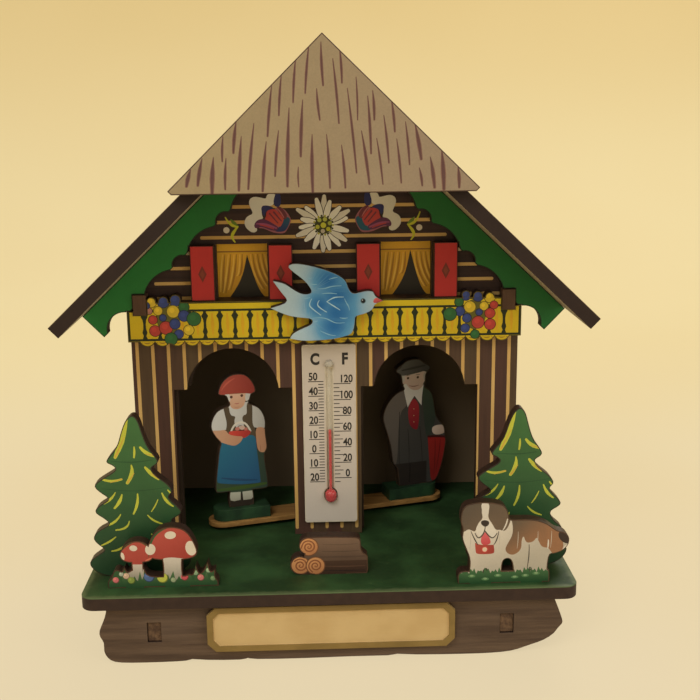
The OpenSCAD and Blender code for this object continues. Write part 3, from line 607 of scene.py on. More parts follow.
def front_region(node, margin, degrees, centre):
    """The node's flat front, drawn in by the margin: points (x, z), faces and the front's y."""
    solid = bmesh.new()
    solid.from_mesh(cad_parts[node].data)
    bmesh.ops.scale(solid, vec=(1 / MM,) * 3, verts=solid.verts)
    back = Matrix.Rotation(math.radians(-degrees), 3, "Z")
    bmesh.ops.rotate(solid, cent=centre, matrix=back, verts=solid.verts)
    bmesh.ops.remove_doubles(solid, verts=solid.verts, dist=0.001)
    solid.normal_update()
    facing = [face for face in solid.faces if face.normal.y < -0.99]
    depth = min(face.calc_center_median().y for face in facing)
    front = {face for face in facing if face.calc_center_median().y < depth + 0.01}
    bmesh.ops.delete(solid, geom=[face for face in solid.faces if face not in front], context="FACES")
    rim = bmesh.ops.inset_region(solid, faces=solid.faces[:], thickness=margin, use_boundary=True,
                                 use_even_offset=True)["faces"]
    bmesh.ops.delete(solid, geom=rim, context="FACES")
    solid.verts.index_update()
    points = np.array([vertex.co[:] for vertex in solid.verts])[:, [0, 2]]
    faces = [[vertex.index for vertex in face.verts] for face in solid.faces]
    solid.free()
    return points, [face for face in faces if doubled_area(points[face]) > 0.001], depth


def print_film(node, slot, material, shapes, base=None, pitch=None, degrees=0, centre=(0, 0, 0),
               body="house", margin=film_margin):
    """A film with the shapes, each an outline in x and z with an ink, on the node's front face.

    Where base is an ink, it covers the whole face. A pitch adds points for inks that fade.
    """
    region, faces, depth = front_region(node, margin, degrees, centre)
    outlines = [outline if doubled_area(outline) > 0 else outline[::-1] for outline, ink in shapes]
    low, high = region.min(0), region.max(0)
    across = np.arange(low[0], high[0], pitch) if pitch else np.empty(0)
    upward = np.arange(low[1], high[1], pitch or 1)
    loose = np.stack(np.meshgrid(across, upward), -1).reshape(-1, 2)
    places = np.concatenate((region, *outlines, loose))
    ends = len(region) + np.cumsum([0] + [len(outline) for outline in outlines])
    cuts = faces + [list(range(first, last)) for first, last in zip(ends[:-1], ends[1:])]
    cut = delaunay_2d_cdt([Vector(place) for place in places], [], cuts, 0, 1e-4, True)
    kept = [(triangle, max(ids) - len(faces)) for triangle, ids in zip(cut[2], cut[5])
            if min(ids, default=len(faces)) < len(faces) and (base or max(ids) >= len(faces))]
    layers = np.maximum([layer for triangle, layer in kept], -1)
    used, triangles = np.unique([triangle for triangle, layer in kept], return_inverse=True)
    triangles = triangles.reshape(-1, 3)
    plane = np.array([cut[0][index][:] for index in used])
    colours = np.empty((len(triangles), 3, 4))
    for layer, ink in enumerate([base] + [ink for outline, ink in shapes], -1):
        chosen = layers == layer
        if chosen.any():
            colours[chosen] = ink(plane[triangles[chosen]])
    count = len(plane)
    edges = np.stack((triangles, np.roll(triangles, -1, 1)), -1).reshape(-1, 2)
    inks = np.stack((colours, np.roll(colours, -1, 1)), -2).reshape(-1, 2, 4)
    number = edges.min(1) * count + edges.max(1)
    first, shared = np.unique(number, return_index=True, return_counts=True)[1:]
    rim = first[shared == 1]
    start, end = edges[rim].T
    sides = np.stack((end, start, start + count, end + count), 1)
    side_inks = inks[rim][:, [1, 0, 0, 1]]
    points = np.empty((2, count, 3))
    points[:, :, 0], points[:, :, 2] = plane.T
    points[0, :, 1], points[1, :, 1] = depth - film_rise, depth + film_sunk
    points = points.reshape(-1, 3) - centre
    turn = math.radians(degrees)
    x = points[:, 0] * math.cos(turn) - points[:, 1] * math.sin(turn)
    points[:, 1] = points[:, 0] * math.sin(turn) + points[:, 1] * math.cos(turn)
    points[:, 0] = x
    mesh = bpy.data.meshes.new(node + "_print")
    polygons = triangles.tolist() + (triangles[:, ::-1] + count).tolist() + sides.tolist()
    mesh.from_pydata(((points + centre) * MM).tolist(), [], polygons)
    paint = mesh.attributes.new("paint", "FLOAT_COLOR", "CORNER")
    corner_inks = [part.reshape(-1, 4) for part in (colours, colours[:, ::-1], side_inks)]
    paint.data.foreach_set("color", np.concatenate(corner_inks).astype(np.float32).reshape(-1))
    mesh.materials.append(material)
    fastened(placed(node + "_print", mesh), body)


def ink_finish(name, seed=0, rough=0.42, blotchy=0.2, speck=0.12):
    """The film's own ink with faint blotches and specks, and a slight sheen."""
    finish = Finish(name)
    paint = finish.node("Attribute", {"attribute_name": "paint"}, {})
    blotches = finish.noise((6, 6, 6), 4, seed)
    specks = finish.noise((0.5, 0.5, 0.5), 2, seed + 1)
    shade = (blotches - 0.5) * blotchy + (specks - 0.5) * speck + 1
    tint = finish.node("VectorMath", {"operation": "SCALE"}, {0: paint, "Scale": shade})
    return finish.finished(tint, (blotches - 0.5) * 0.2 + rough, blotches + specks * 0.5, 0.03)


motif_middle = -0.2
petal_white = fade((224, 220, 206), (204, 198, 184), (-17, 134), (-22, 123))
navy = flat(40, 42, 92)
tulip_red = fade((176, 52, 56), (184, 76, 56), (-16, 130), (-13, 124.5))
maroon = flat(104, 46, 56)
plum = flat(88, 38, 72)
tulip_back = spline([(-22.5, 132.9), (-21, 133.6), (-18.7, 133.1), (-17.5, 132.8), (-17.2, 134.1),
                     (-16, 134.4), (-14.5, 134.2), (-14.7, 133), (-15.2, 130.7), (-18, 130.5),
                     (-18.8, 131), (-19, 128.1), (-18.4, 126.8), (-19.7, 126.5), (-21.3, 124.8),
                     (-20.3, 123.5), (-20.9, 122.6), (-22.4, 122.6), (-24.2, 124.4), (-24.3, 126.2),
                     (-23.4, 127.6), (-21.5, 128.3), (-22.1, 129.7), (-22.8, 131.3)])
tulip_parts = [
    (tulip_back, petal_white),
    (spline([(-20.4, 123.8), (-18.7, 123.9), (-17, 123.1), (-15.1, 122.3), (-12.3, 122.1),
             (-11.4, 123), (-10.1, 125.4), (-10, 126.9), (-12, 129.8), (-14.4, 130.6),
             (-17.4, 126.6)]), flat(150, 88, 96)),
    (spline([(-14.5, 134.5), (-13.1, 134.5), (-12.9, 132.3), (-13, 131.1), (-13.7, 130.2),
             (-14.9, 130.5), (-15.3, 131.7), (-15, 133.1)]), navy),
    (spline([(-19, 130.6), (-17.4, 130.9), (-15.5, 130.3), (-15.2, 129.7), (-16.8, 129.4),
             (-17.8, 128.8), (-18.1, 127.2), (-19, 128.9)]), navy),
    (spline([(-11.9, 127.2), (-10.6, 127.2), (-10.2, 126.1), (-11.1, 123.9), (-12, 122.8),
             (-13.9, 122.6), (-15.3, 122.9), (-13.2, 124.5), (-12.4, 126.1)]),
     fade((36, 44, 90), (30, 84, 104), (-12, 123), (-10.5, 127))),
    (spline([(-14.6, 130.3), (-13.2, 130.5), (-12, 129.2), (-10.9, 127.3), (-12.2, 126.1),
             (-13.4, 128)]), maroon),
    (spline([(-17.5, 128.9), (-16.8, 129.4), (-15.2, 129.8), (-14, 128.9), (-12.6, 127.3),
             (-12.2, 126.2), (-12.9, 124.8), (-13.4, 124.1), (-14.4, 124.6), (-16, 125.5),
             (-18.2, 126.5), (-17.6, 127.4)]), tulip_red),
    (spline([(-21.4, 125), (-20.5, 126.3), (-18.9, 126.8), (-17.2, 126.3), (-14.7, 124.7),
             (-13.8, 123.9), (-14.5, 122.9), (-16.4, 123.2), (-18.2, 124), (-19.5, 124.3),
             (-20.3, 123.9), (-21.2, 123.9)]), plum),
    (stroke([(-20.6, 125.2), (-18, 125.5), (-14.6, 123.8)], 0.3, 0.6, 0.5), flat(150, 70, 104)),
    (stroke([(-19.6, 124.9), (-17.6, 124.6), (-15.4, 123.6)], 0.3, 0.5, 0.3), flat(170, 60, 60)),
    (stroke([(-16.5, 128.3), (-14.1, 125.4)], 0.5, 0.35), maroon),
    (stroke([(-15.2, 128.7), (-13, 126)], 0.6, 0.35), maroon),
    (stroke([(-14.1, 129.8), (-12.9, 128.5), (-12.2, 127)], 0.3, 0.45, 0.2), flat(176, 96, 92)),
]
right_inks = {petal_white: fade((220, 214, 198), (204, 198, 182), (17, 134), (22, 123)),
              tulip_red: fade((184, 58, 56), (178, 64, 58), (16, 130), (13, 124.5))}
motifs = tulip_parts + [
    (mirrored(outline, motif_middle), right_inks.get(ink, ink)) for outline, ink in tulip_parts
]
flower = np.array((-0.1, 124.5))
petal_tips = [
    (0.3, 133.9), (-2.2, 132.9), (-5.6, 130.3), (-8.4, 129.7), (-7, 126.6), (-7.6, 123.9),
    (-8.6, 121.3), (-5.9, 119.7), (-3.2, 117.2), (-0.3, 116.1), (1.8, 116.7), (5, 118), (7.1, 119.5),
    (7.7, 122.6), (7.4, 126.7), (8.1, 129.1), (5.3, 130.2), (2.1, 132.1),
]
for number, tip in enumerate(petal_tips):
    reach = np.array(tip) - flower
    petal = [flower + reach * share for share in (0.2, 0.6, 0.94)]
    white = flat(234, 230, 216) if number % 3 else flat(220, 214, 198)
    motifs += [(stroke(petal, 1.3, 2.2, 2.3, 1.5), flat(60, 42, 34)),
               (stroke(petal, 1, 1.8, 1.85, 1.1), white)]
motifs.append((oval(*flower, 2.7), flat(62, 62, 26)))
for number in range(18):
    angle = number * math.radians(20)
    place = flower + 2.95 * np.array((math.cos(angle), math.sin(angle)))
    motifs.append((oval(*place, 0.32), flat(52, 54, 24) if number % 2 else flat(176, 172, 40)))
for x, z, radius, ink in (
    (-0.1, 124.5, 0.85, flat(206, 204, 60)), (-1.3, 126.1, 0.65, flat(176, 182, 78)),
    (0.4, 126.3, 0.65, flat(186, 188, 84)), (1.9, 125.1, 0.65, flat(168, 172, 70)),
    (1.4, 123.3, 0.65, flat(196, 192, 52)), (-0.3, 122.7, 0.65, flat(190, 178, 156)),
    (-1.9, 124, 0.65, flat(186, 188, 60)),
):
    motifs.append((oval(x, z, radius), ink))
leaf = flat(96, 122, 34)
bright_leaf = flat(186, 184, 44)
for side, top in ((-1, 127.3), (1, 128.2)):
    middle = 0 if side < 0 else -0.4
    motifs += [
        (stroke([(side * 28.4 + middle, 126.6), (side * 27.6 + middle, 125.4),
                 (side * 26.3 + middle, 124.4)], 0.3, 1.4, 0.5), leaf),
        (stroke([(side * 30.1 + middle, top), (side * 29.3 + middle, 125.8),
                 (side * 27.8 + middle, 124.6), (side * 26.4 + middle, 124.3)], 0.35, 0.6, 0.9, 0.4),
         bright_leaf),
        (stroke([(side * 26.4 + middle, 124.4), (side * 27.8 + middle, 122.8),
                 (side * 28.5 + middle, 121), (side * 27.4 + middle, 119.7)], 0.5, 1, 0.8, 0.4),
         bright_leaf),
        (oval(side * 29.9 + middle, 123.4, 0.95), flat(206, 194, 172)),
        (oval(side * 42.1, 116.4, 0.45), flat(206, 194, 172)),
    ]
print_film("front_wall", "wall_print", ink_finish("flower_ink", 11), motifs)


# Curtains
# A board glued behind each window. Two gathered curtains under a plain band are printed on it, and the
# dark room between them.
curtain_gold = (226, 170, 44)
curtain_ink = ink_finish("curtain_ink", 21, blotchy=0.3)


def printed_board(node, slot, edge, ink, shapes, base=None, pitch=None, body="house", **placing):
    """A cut board with its edge's finish, and the print on its face."""
    cut_board(node, edge, body)
    print_film(node, slot, ink, shapes, base, pitch, body=body, **placing)


def curtain(node, middle, top, side_folds):
    """A pair of curtains about the window's middle that meet at the top of the dark opening."""
    low, high = millimetres(node)
    opening = np.array([(0, top), (0, top), (-1.6, 108.2), (-4.9, 102.7), (-7.1, 100.4), (-7.1, 100.4),
                        (7.1, 100.4), (7.1, 100.4), (4.2, 102.6), (2.2, 107.5)])
    shapes = [(spline(opening + (middle, 0)), flat(38, 32, 24))]
    for start, foot, reach in side_folds:
        fold = [(middle + start, 115.3), (middle + start * 1.12, 109.2), (middle + foot, reach)]
        shapes.append((stroke(fold, 0.25, 0.75, 0.35), flat(176, 120, 32)))
        lighter = [(x - 0.75, z) for x, z in fold]
        shapes.append((stroke(lighter, 0.2, 0.6, 0.3), flat(238, 190, 76)))
    shapes.append((block(low[0], 116, high[0], 116.4), flat(150, 100, 36)))
    base = fade(curtain_gold, (206, 146, 34), (0, 118), (0, 101))
    edge = stained_board(node + "_edge", srgb(120, 82, 36), srgb(96, 64, 30))
    printed_board(node, "curtain_print", edge, curtain_ink, shapes, base, 1.5)


folds = ((-6.9, -7.9, 103.6), (-5.1, -7, 103.2), (-3.3, -5.4, 104.2), (-1.5, -2.6, 108.6),
         (1.8, 5.2, 104.4), (3.3, 6.6, 105.2), (4.8, 7.6, 106.2), (6.3, 8, 108))
curtain("curtain_left", -24.1, 115.2, folds)
curtain("curtain_right", 27.1, 116, folds)


# Shutters
# Red boards of thinner sheet, glued on the wall beside the windows. Each has a brown diamond printed
# in its middle and edges that are dark from the cut.
def paint_finish(name, main, second, face, seed):
    """Flat paint of two near tones on a front at y = face, with brush marks, and dark cut edges."""
    finish = Finish(name)
    tone = finish.noise((6, 6, 6), 4, seed)
    streak = finish.noise((0.9, 6, 15), 2, seed + 3)
    colour = finish.mix((tone * 0.7 + streak * 0.3).ramp(0.3, 0.7), main, second)
    colour = edge_rim(finish, face, colour)
    grain = finish.noise((0.5, 0.5, 1.6), 3, seed + 5)
    return finish.finished(colour, (grain - 0.5) * 0.2 + 0.5, grain * 0.5 + streak * 0.5, 0.03)


shutter_red = (188, 48, 44)
shutter_ink = ink_finish("shutter_ink", 31)
shutter_front = front_of("shutter_left_outer")
shutter_edge = paint_finish("shutter_edge", srgb(78, 30, 24), srgb(60, 26, 22), shutter_front, 7)
for shutter in ("shutter_left_outer", "shutter_left_inner", "shutter_right_inner",
                "shutter_right_outer"):
    low, high = millimetres(shutter)
    x, z = (low[0] + high[0]) / 2, (low[2] + high[2]) / 2 - 0.2
    diamond = np.array(((x - 1.3, z), (x, z - 2.6), (x + 1.3, z), (x, z + 2.6)))
    inner = diamond * 0.55 + np.array((x, z)) * 0.45
    shapes = [(diamond, flat(112, 44, 32)), (inner, flat(126, 56, 38))]
    red = fade(shutter_red, (172, 42, 40), (low[0], high[2]), (high[0], low[2]))
    printed_board(shutter, "shutter_red", shutter_edge, shutter_ink, shapes, red, 2)


# Balcony
# A long board glued across the wall, printed with a yellow rail and turned balusters on dark green,
# with a dark band of painted shadow along its top. At its ends hang bunches of flowers that are cut
# out with it, each flower with a painted highlight.
balcony_low, balcony_high = millimetres("balcony")
baluster_pitch = 4.65
gap_first = -55.85
gap_count = 25
rail_top = balcony_low[2] + 13.9
gap_top = rail_top - 2.7
gap_foot = gap_top - 8.8
rail_yellow = (210, 184, 30)
dark_green = flat(32, 40, 18)
gap_half = ((0, 0.6), (0.6, 0.4), (1.7, 1.1), (2.7, 0.57), (4, 0.4), (5.5, 0.45), (6.7, 0.8),
            (7.7, 0.4), (8.8, 0.8))
balusters = [(block(balcony_low[0], gap_top - 0.3, balcony_high[0], gap_top + 0.4), dark_green)]
for number in range(gap_count):
    x = gap_first + number * baluster_pitch
    sides = [(x + half, gap_top - down) for down, half in gap_half]
    sides += [(x - half, gap_top - down) for down, half in gap_half[::-1]]
    balusters.append((np.array(sides), dark_green))
    balusters.append((stroke([(x + 2.3, gap_top - 1), (x + 2.4, gap_foot + 1.2)], 0.5, 1.1, 0.5),
                      flat(208, 160, 30)))
balusters.append((block(balcony_low[0], gap_foot - 0.6, balcony_high[0], gap_foot + 0.1), dark_green))
# The dark band along the top edge is painted shadow, as of the gap between the shutters and the
# balcony.
balusters.append((block(balcony_low[0], rail_top - 0.5, balcony_high[0], rail_top + 1), dark_green))
fringe_pitch = 2.35
fringe_count = 52
for number in range(fringe_count):
    x = balcony_low[0] + 1.2 + number * fringe_pitch
    balusters.append((stroke([(x - 0.9, 89.3), (x, 88.8), (x + 0.9, 89.3)], 0.2, 0.45, 0.2),
                      flat(150, 118, 34)))
for end in (balcony_low[0], balcony_high[0] - 0.9):
    balusters.append((block(end, gap_foot, end + 0.9, gap_top), dark_green))
blossom_inks = {
    "yellow": (208, 178, 48), "blue": (52, 66, 122), "green": (46, 96, 50), "red": (176, 62, 52),
    "pink": (178, 120, 104),
}
left_blossoms = (
    (-53.5, 102.1, 1.5, "yellow"), (-49.8, 102.1, 1.6, "blue"), (-46.1, 102.6, 1.7, "blue"),
    (-43.5, 100.4, 1.4, "green"), (-51.5, 99.3, 1.2, "yellow"), (-46.9, 99, 1.7, "yellow"),
    (-54.3, 99.3, 0.9, "pink"), (-53.2, 96.5, 1.2, "red"), (-50.1, 97.1, 0.9, "blue"),
    (-43.6, 97.6, 1.5, "blue"), (-40.6, 96.6, 1.9, "green"), (-52.7, 93, 1.5, "red"),
    (-49.3, 93.9, 1.8, "red"), (-46.5, 95.1, 1.4, "blue"), (-45.4, 91.9, 1.2, "blue"),
    (-42.3, 93.1, 1.4, "yellow"), (-47.9, 90.4, 1.7, "green"), (-55, 101, 0.9, "blue"),
)
right_blossoms = (
    (43.7, 102.7, 1.5, "blue"), (47.5, 102.3, 1.5, "blue"), (51.2, 101.9, 1.5, "yellow"),
    (41.6, 100.5, 1.2, "green"), (45, 98.9, 1.6, "yellow"), (49.4, 99.1, 1.2, "yellow"),
    (52.5, 99.4, 1.1, "red"), (41.9, 97.6, 1.3, "blue"), (38.8, 96.7, 1.8, "green"),
    (47.9, 97.2, 0.9, "blue"), (51.3, 96.8, 1.4, "red"), (44.1, 95.4, 1.2, "blue"),
    (47.6, 94, 1.7, "red"), (51.4, 93.3, 1.5, "red"), (43.6, 92.2, 1.2, "blue"),
    (46.7, 90.2, 1.2, "green"),
)
bunch_ground = flat(96, 92, 34)
for bunch in (left_blossoms, right_blossoms):
    middle = np.mean([place[0] for place in bunch])
    balusters.append((oval(middle, 96.6, 3.6, 4.8), bunch_ground))
    for x, z, radius, name in bunch:
        tint = np.array(blossom_inks[name])
        balusters += [
            (oval(x, z, radius * 1.1 + 0.22), flat(*(tint * 0.45))),
            (oval(x, z, radius * 1.1), flat(*tint)),
            # The lighter spot to each blossom's upper left is a painted highlight.
            (oval(x - radius * 0.2, z + radius * 0.25, radius * 0.5),
             flat(*np.minimum(tint * 1.1, 255))),
        ]
balcony_edge = paint_finish("balcony_edge", srgb(96, 84, 30), srgb(72, 62, 26), balcony_low[1], 9)
printed_board("balcony", "balcony_print", balcony_edge, ink_finish("balcony_ink", 41), balusters,
              fade(rail_yellow, (200, 168, 26), (0, 102), (0, 89)), 3)


# Bird
# A swallow cut from board and glued on the balcony. It is printed in pale blue that deepens over its
# back, with paler feather lines.
bird_blues = np.array((srgb(168, 188, 192), srgb(84, 144, 180), srgb(32, 100, 156)))
bird_deep = np.array(((3.6, 103.5), (3.5, 98.5), (2.6, 94.4), (1.2, 108.6), (-1.5, 101)))
bird_spread = np.array((7, 7, 6, 5.5, 5))


def bird_blue(places):
    """Pale at the tips and deep at the back: the strongest of some bells exp(-(d / spread)^2)."""
    away = np.linalg.norm(places[..., None, :] - bird_deep, axis=-1) / bird_spread
    depth = np.exp(-away ** 2).max(-1)[..., None]
    low, middle, high = bird_blues
    return np.where(depth < 0.5, low + (middle - low) * depth * 2,
                    middle + (high - middle) * (depth * 2 - 1))


feather = flat(126, 172, 190)
pale_feather = flat(160, 194, 202)
feather_lines = [
    [(1.3, 108.9), (2.5, 109.4), (3.9, 109.5)], [(-4.3, 107.6), (-3.4, 107.3), (-2.4, 107.5)],
    [(-2.2, 106.1), (-0.1, 106), (2.2, 106.9), (5, 106.9)], [(-5.4, 109.5), (-4.8, 109.2), (-4, 109.4)],
    [(5.9, 102.9), (6.4, 101.7), (7.3, 100.3), (7.4, 99.3)],
    [(-4.5, 96.9), (-2.6, 97.2), (0.2, 96.9), (2.1, 95.8), (3.5, 95.2), (5.8, 95.4)],
    [(4.4, 97), (5.6, 96.6), (6.8, 96.9)], [(-3.8, 95.9), (-3.1, 95.7), (-2.4, 96.1)],
    [(-1.7, 93), (-0.3, 92.3), (1.5, 91.5), (3, 91.4)], [(-5, 94.5), (-4.3, 94.2), (-3.6, 94.5)],
    [(-1, 104.5), (1.2, 104.9), (3.6, 104.4)], [(-7.4, 103.4), (-5.8, 103), (-4.6, 103.4)],
]
arrow_lines = [
    [(5.7, 103.4), (3.6, 103.5), (1.9, 103), (0.5, 102)], [(0.5, 102), (2.4, 100.8), (4.5, 99.4)],
    [(-1.8, 102.5), (-2.7, 101.3), (-1.4, 99.9), (0.4, 98.8)],
    [(-4.1, 103), (-5.1, 101.4), (-4.2, 100), (-1.4, 97.9)],
]
bird_shapes = [(stroke(line, 0.12, 0.34, 0.16), feather) for line in feather_lines]
bird_shapes += [(stroke(line, 0.16, 0.42, 0.2), pale_feather) for line in arrow_lines]
bird_shapes += [
    (spline([(14.6, 101.3), (14.8, 102.4), (15.5, 103.1), (16.9, 102.8), (18.2, 101.9), (18.2, 101.9),
             (16.7, 101.5)]), fade((212, 96, 96), (168, 70, 68), (15, 103), (16, 101.3))),
    (oval(11.6, 102.1, 0.85), flat(90, 116, 122)),
    (oval(11.6, 102.1, 0.66), flat(16, 14, 18)),
    # The pale dot in the eye is a painted glint.
    (oval(11.4, 102.35, 0.18), flat(190, 196, 196)),
]
bird_edge = paint_finish("bird_edge", srgb(168, 178, 176), srgb(120, 132, 136), front_of("bird"), 12)
printed_board("bird", "bird_blue", bird_edge, ink_finish("bird_ink", 51), bird_shapes, bird_blue, 0.5,
              margin=0.1)


# Thatch
# A triangular board glued in front of the roof's upper part, printed with tan straw and brown brush
# strokes that swell towards their lower ends. The tan turns a little darker to the lower right as
# painted shade.
thatch_low = millimetres("thatch_gable")[0]
thatch_foot = thatch_low[2]
straw_strokes = (
    (-0.3, 38.8, 0.1, 27.9, 0.8), (2.7, 34.6, 4.1, 18.2, 0.7), (4.5, 37.4, 5, 28.5, 0.7),
    (-3.4, 38.3, -4.6, 26, 0.7), (-6.9, 34.9, -7.8, 23.7, 0.7), (-10.7, 30.7, -11.6, 20.4, 0.7),
    (-13.3, 27.9, -14.7, 15.1, 0.8), (-1.6, 27.1, -0.9, 19.1, 0.7), (8.7, 29.9, 9, 19, 0.5),
    (6.4, 27.1, 8.6, 5.3, 0.7), (11.7, 25.1, 12.5, 10.3, 0.8), (13, 26.5, 13.4, 19, 0.8),
    (17.9, 24.3, 18.8, 15.9, 0.8), (15.9, 20.1, 17.2, 7.8, 0.7), (21.6, 18.4, 22.7, 7.3, 0.7),
    (24.1, 17.9, 25.8, 8.7, 1.2), (19.3, 14, 20.5, 2.5, 0.7), (14, 14.2, 15.6, 2.2, 0.6),
    (10, 16.2, 12, 2.3, 0.9), (4.7, 12.6, 5.6, 1.4, 0.8), (0.8, 15.4, 1.5, 1.4, 0.8),
    (-3, 15.4, -3.1, 0.3, 1.1), (-5.3, 24.3, -6.1, 9.8, 1), (-8.9, 22.3, -9.8, 2, 1.1),
    (-11.8, 16.5, -13, 4.7, 0.8), (-15.1, 13.7, -16.4, 0.8, 1), (-18.2, 18.4, -20.2, 1.4, 0.9),
    (-21.6, 15.1, -22.7, 1.1, 1.1), (-22.8, 19, -23.8, 10.9, 1), (-26.4, 15.1, -26.8, 8.7, 0.7),
    (-25.8, 9.5, -26.3, 1.4, 0.8), (-29.1, 9.8, -29.8, 0.3, 1.4), (-32.1, 9.5, -33.5, 2.5, 1.1),
    (-35.2, 6.7, -36.5, 2.3, 1.2), (-6.8, 7, -6.8, 1.8, 0.5), (25.3, 6.4, 26.1, 1.7, 0.8),
    (28.2, 9.2, 29.4, 1.2, 1.2), (31.2, 11.2, 31.9, 0.7, 1.4), (35.6, 6.7, 36, 1.1, 1),
)
straw_shapes = []
for top_x, top_z, foot_x, foot_z, width in straw_strokes:
    ends = np.array(((top_x, top_z), (foot_x, foot_z))) + (0, thatch_foot)
    bend = ends.mean(0) + (0.25 * math.copysign(1, top_x), 0)
    line = [ends[0], bend, ends[1]]
    straw_shapes.append((stroke(line, 0.25, width + 0.15, width * 0.7), flat(124, 92, 76)))
    straw_shapes.append((stroke(line, 0.15, width * 0.75, width * 0.4), flat(92, 62, 58)))
thatch_edge = paint_finish("thatch_edge", srgb(84, 62, 48), srgb(66, 48, 38), thatch_low[1], 14)
thatch_ink = ink_finish("thatch_ink", 61, 0.5, 0.16, 0.2)
# The tan base darkens a little towards the lower right: painted shade.
printed_board("thatch_gable", "thatch_print", thatch_edge, thatch_ink, straw_shapes,
              fade((149, 131, 97), (145, 126, 102), (-30, 160), (30, 140)), 3)


# Bargeboards
# Green boards with hollows along their lower edge, glued under the roof beside the gable. Their faces
# are painted and their edges are dark from the cut.
barge_ink = ink_finish("barge_ink", 71, 0.5, 0.3, 0.16)
barge_edge = paint_finish("barge_edge", srgb(30, 52, 26), srgb(22, 34, 20),
                          front_of("bargeboard_left"), 15)
barge_green = fade((34, 112, 48), (28, 96, 40), (-60, 130), (60, 100))
for barge in ("bargeboard_left", "bargeboard_right"):
    printed_board(barge, "barge_green", barge_edge, barge_ink, [], barge_green, 4)


# Thermometer
# A pale card glued on the middle post and printed with both scales. The glass tube lies on it with
# its bulb at the foot, filled with red spirit, and a dab of clear glue holds its end.
print_black = flat(46, 42, 38)
celsius_top = 75.2
celsius_step = 4.79
fahrenheit_top = 74.4
fahrenheit_step = 5.25
line_width = 0.28


def bar(left, right_end, z):
    """A level line of the scale."""
    return block(left, z - line_width / 2, right_end, z + line_width / 2)


scale_lines = []
scale_words = [("C", -3.5, 80.6, 3.9, 0.18), ("F", 6, 80.6, 3.9, 0.18)]
for number in range(8):
    z = celsius_top - number * celsius_step
    scale_lines.append((bar(-5.8, -0.9, z), print_black))
    scale_words.append((str(abs(50 - 10 * number)), -4.2, z + 0.35, 2.6, 0.1))
    if number < 7:
        scale_lines += [(bar(-2.6, -0.9, z - celsius_step * tick / 5), print_black)
                        for tick in range(1, 5)]
for number in range(7):
    z = fahrenheit_top - number * fahrenheit_step
    scale_lines.append((bar(1.7, 7.7, z), print_black))
    scale_words.append((str(120 - 20 * number), 6.5, z + 0.35, 2.6, 0.1))
    scale_lines += [(bar(1.7, 4.1 + (tick == 2), z - fahrenheit_step * tick / 4), print_black)
                    for tick in (range(1, 4) if number < 6 else (1,))]


letter_narrow = 0.82


def lettering(name, words, face, material):
    """Words as (text, middle x, foot z, height, boldness) that stand a little proud of the face."""
    joined = bmesh.new()
    for text, x, z, high, bold in words:
        curve = bpy.data.curves.new(name, "FONT")
        curve.body = text
        curve.size = 1
        curve.offset = bold * 0.25
        curve.extrude = 0.05
        holder = placed(name, curve)
        graph = bpy.context.evaluated_depsgraph_get()
        mesh = bpy.data.meshes.new_from_object(holder.evaluated_get(graph))
        bpy.data.objects.remove(holder)
        places = np.empty(len(mesh.vertices) * 3)
        mesh.vertices.foreach_get("co", places)
        places = places.reshape(-1, 3)
        low, high_end = places.min(0), places.max(0)
        scale = high / (high_end[1] - low[1])
        moved = np.empty_like(places)
        moved[:, 0] = x + (places[:, 0] - (low[0] + high_end[0]) / 2) * scale * letter_narrow
        moved[:, 1] = face - np.where(places[:, 2] > 0, film_rise * 2, -film_sunk)
        moved[:, 2] = z + (places[:, 1] - low[1]) * scale
        mesh.vertices.foreach_set("co", (moved * MM).reshape(-1))
        joined.from_mesh(mesh)
    bmesh.ops.remove_doubles(joined, verts=joined.verts, dist=0.002 * MM)
    bmesh.ops.recalc_face_normals(joined, faces=joined.faces)
    mesh = bpy.data.meshes.new(name)
    joined.to_mesh(mesh)
    joined.free()
    mesh.materials.append(material)
    fastened(placed(name, mesh))


def speckled(name, first, second, cell, seed=0, rough=0.5, **fixed):
    """Two near tones in clouds of the given size, with a faint grain in the surface."""
    finish = Finish(name, **fixed)
    clouds = finish.noise((cell, cell, cell), 3, seed)
    grain = finish.noise((cell * 0.1,) * 3, 3, seed + 1)
    return finish.finished(finish.mix(clouds.ramp(0.3, 0.7), first, second),
                           rough + (grain - 0.5) * 0.2, grain, 0.02)


card_edge = speckled("card_edge", srgb(214, 202, 178), srgb(196, 182, 156), 5, 3)
cut_board("thermometer_plate", card_edge, ease=0.1 * MM)
# The card's pale ink darkens a little towards the top: painted shade under the balcony.
print_film("thermometer_plate", "scale_card", ink_finish("card_ink", 81, 0.35, 0.06, 0.06), scale_lines,
           fade((192, 178, 160), (204, 191, 175), (0, 87), (0, 60)), 4)
letter_ink = speckled("figure_ink", srgb(46, 42, 38), srgb(36, 32, 30), 2, 5, 0.4)
lettering("scale_figures", scale_words, front_of("thermometer_plate"), letter_ink)
tube_glass = speckled("tube_glass", srgb(232, 224, 206), srgb(222, 212, 194), 8, 6, 0.12, Alpha=0.05,
                      Specular_IOR_Level=0.6)
cut_board("thermometer_tube", tube_glass, ease=0.05 * MM)
spirit_red = speckled("spirit_red", srgb(206, 12, 34), srgb(186, 8, 28), 3, 7, 0.15, Coat_Weight=0.3)
cut_board("thermometer_spirit", spirit_red, ease=0.05 * MM)
glue_clear = speckled("glue_clear", srgb(240, 232, 214), srgb(226, 216, 196), 1.5, 8, 0.25,
                      Transmission_Weight=0.55, IOR=1.45)
cut_board("tube_glue", glue_clear, ease=0.1 * MM)


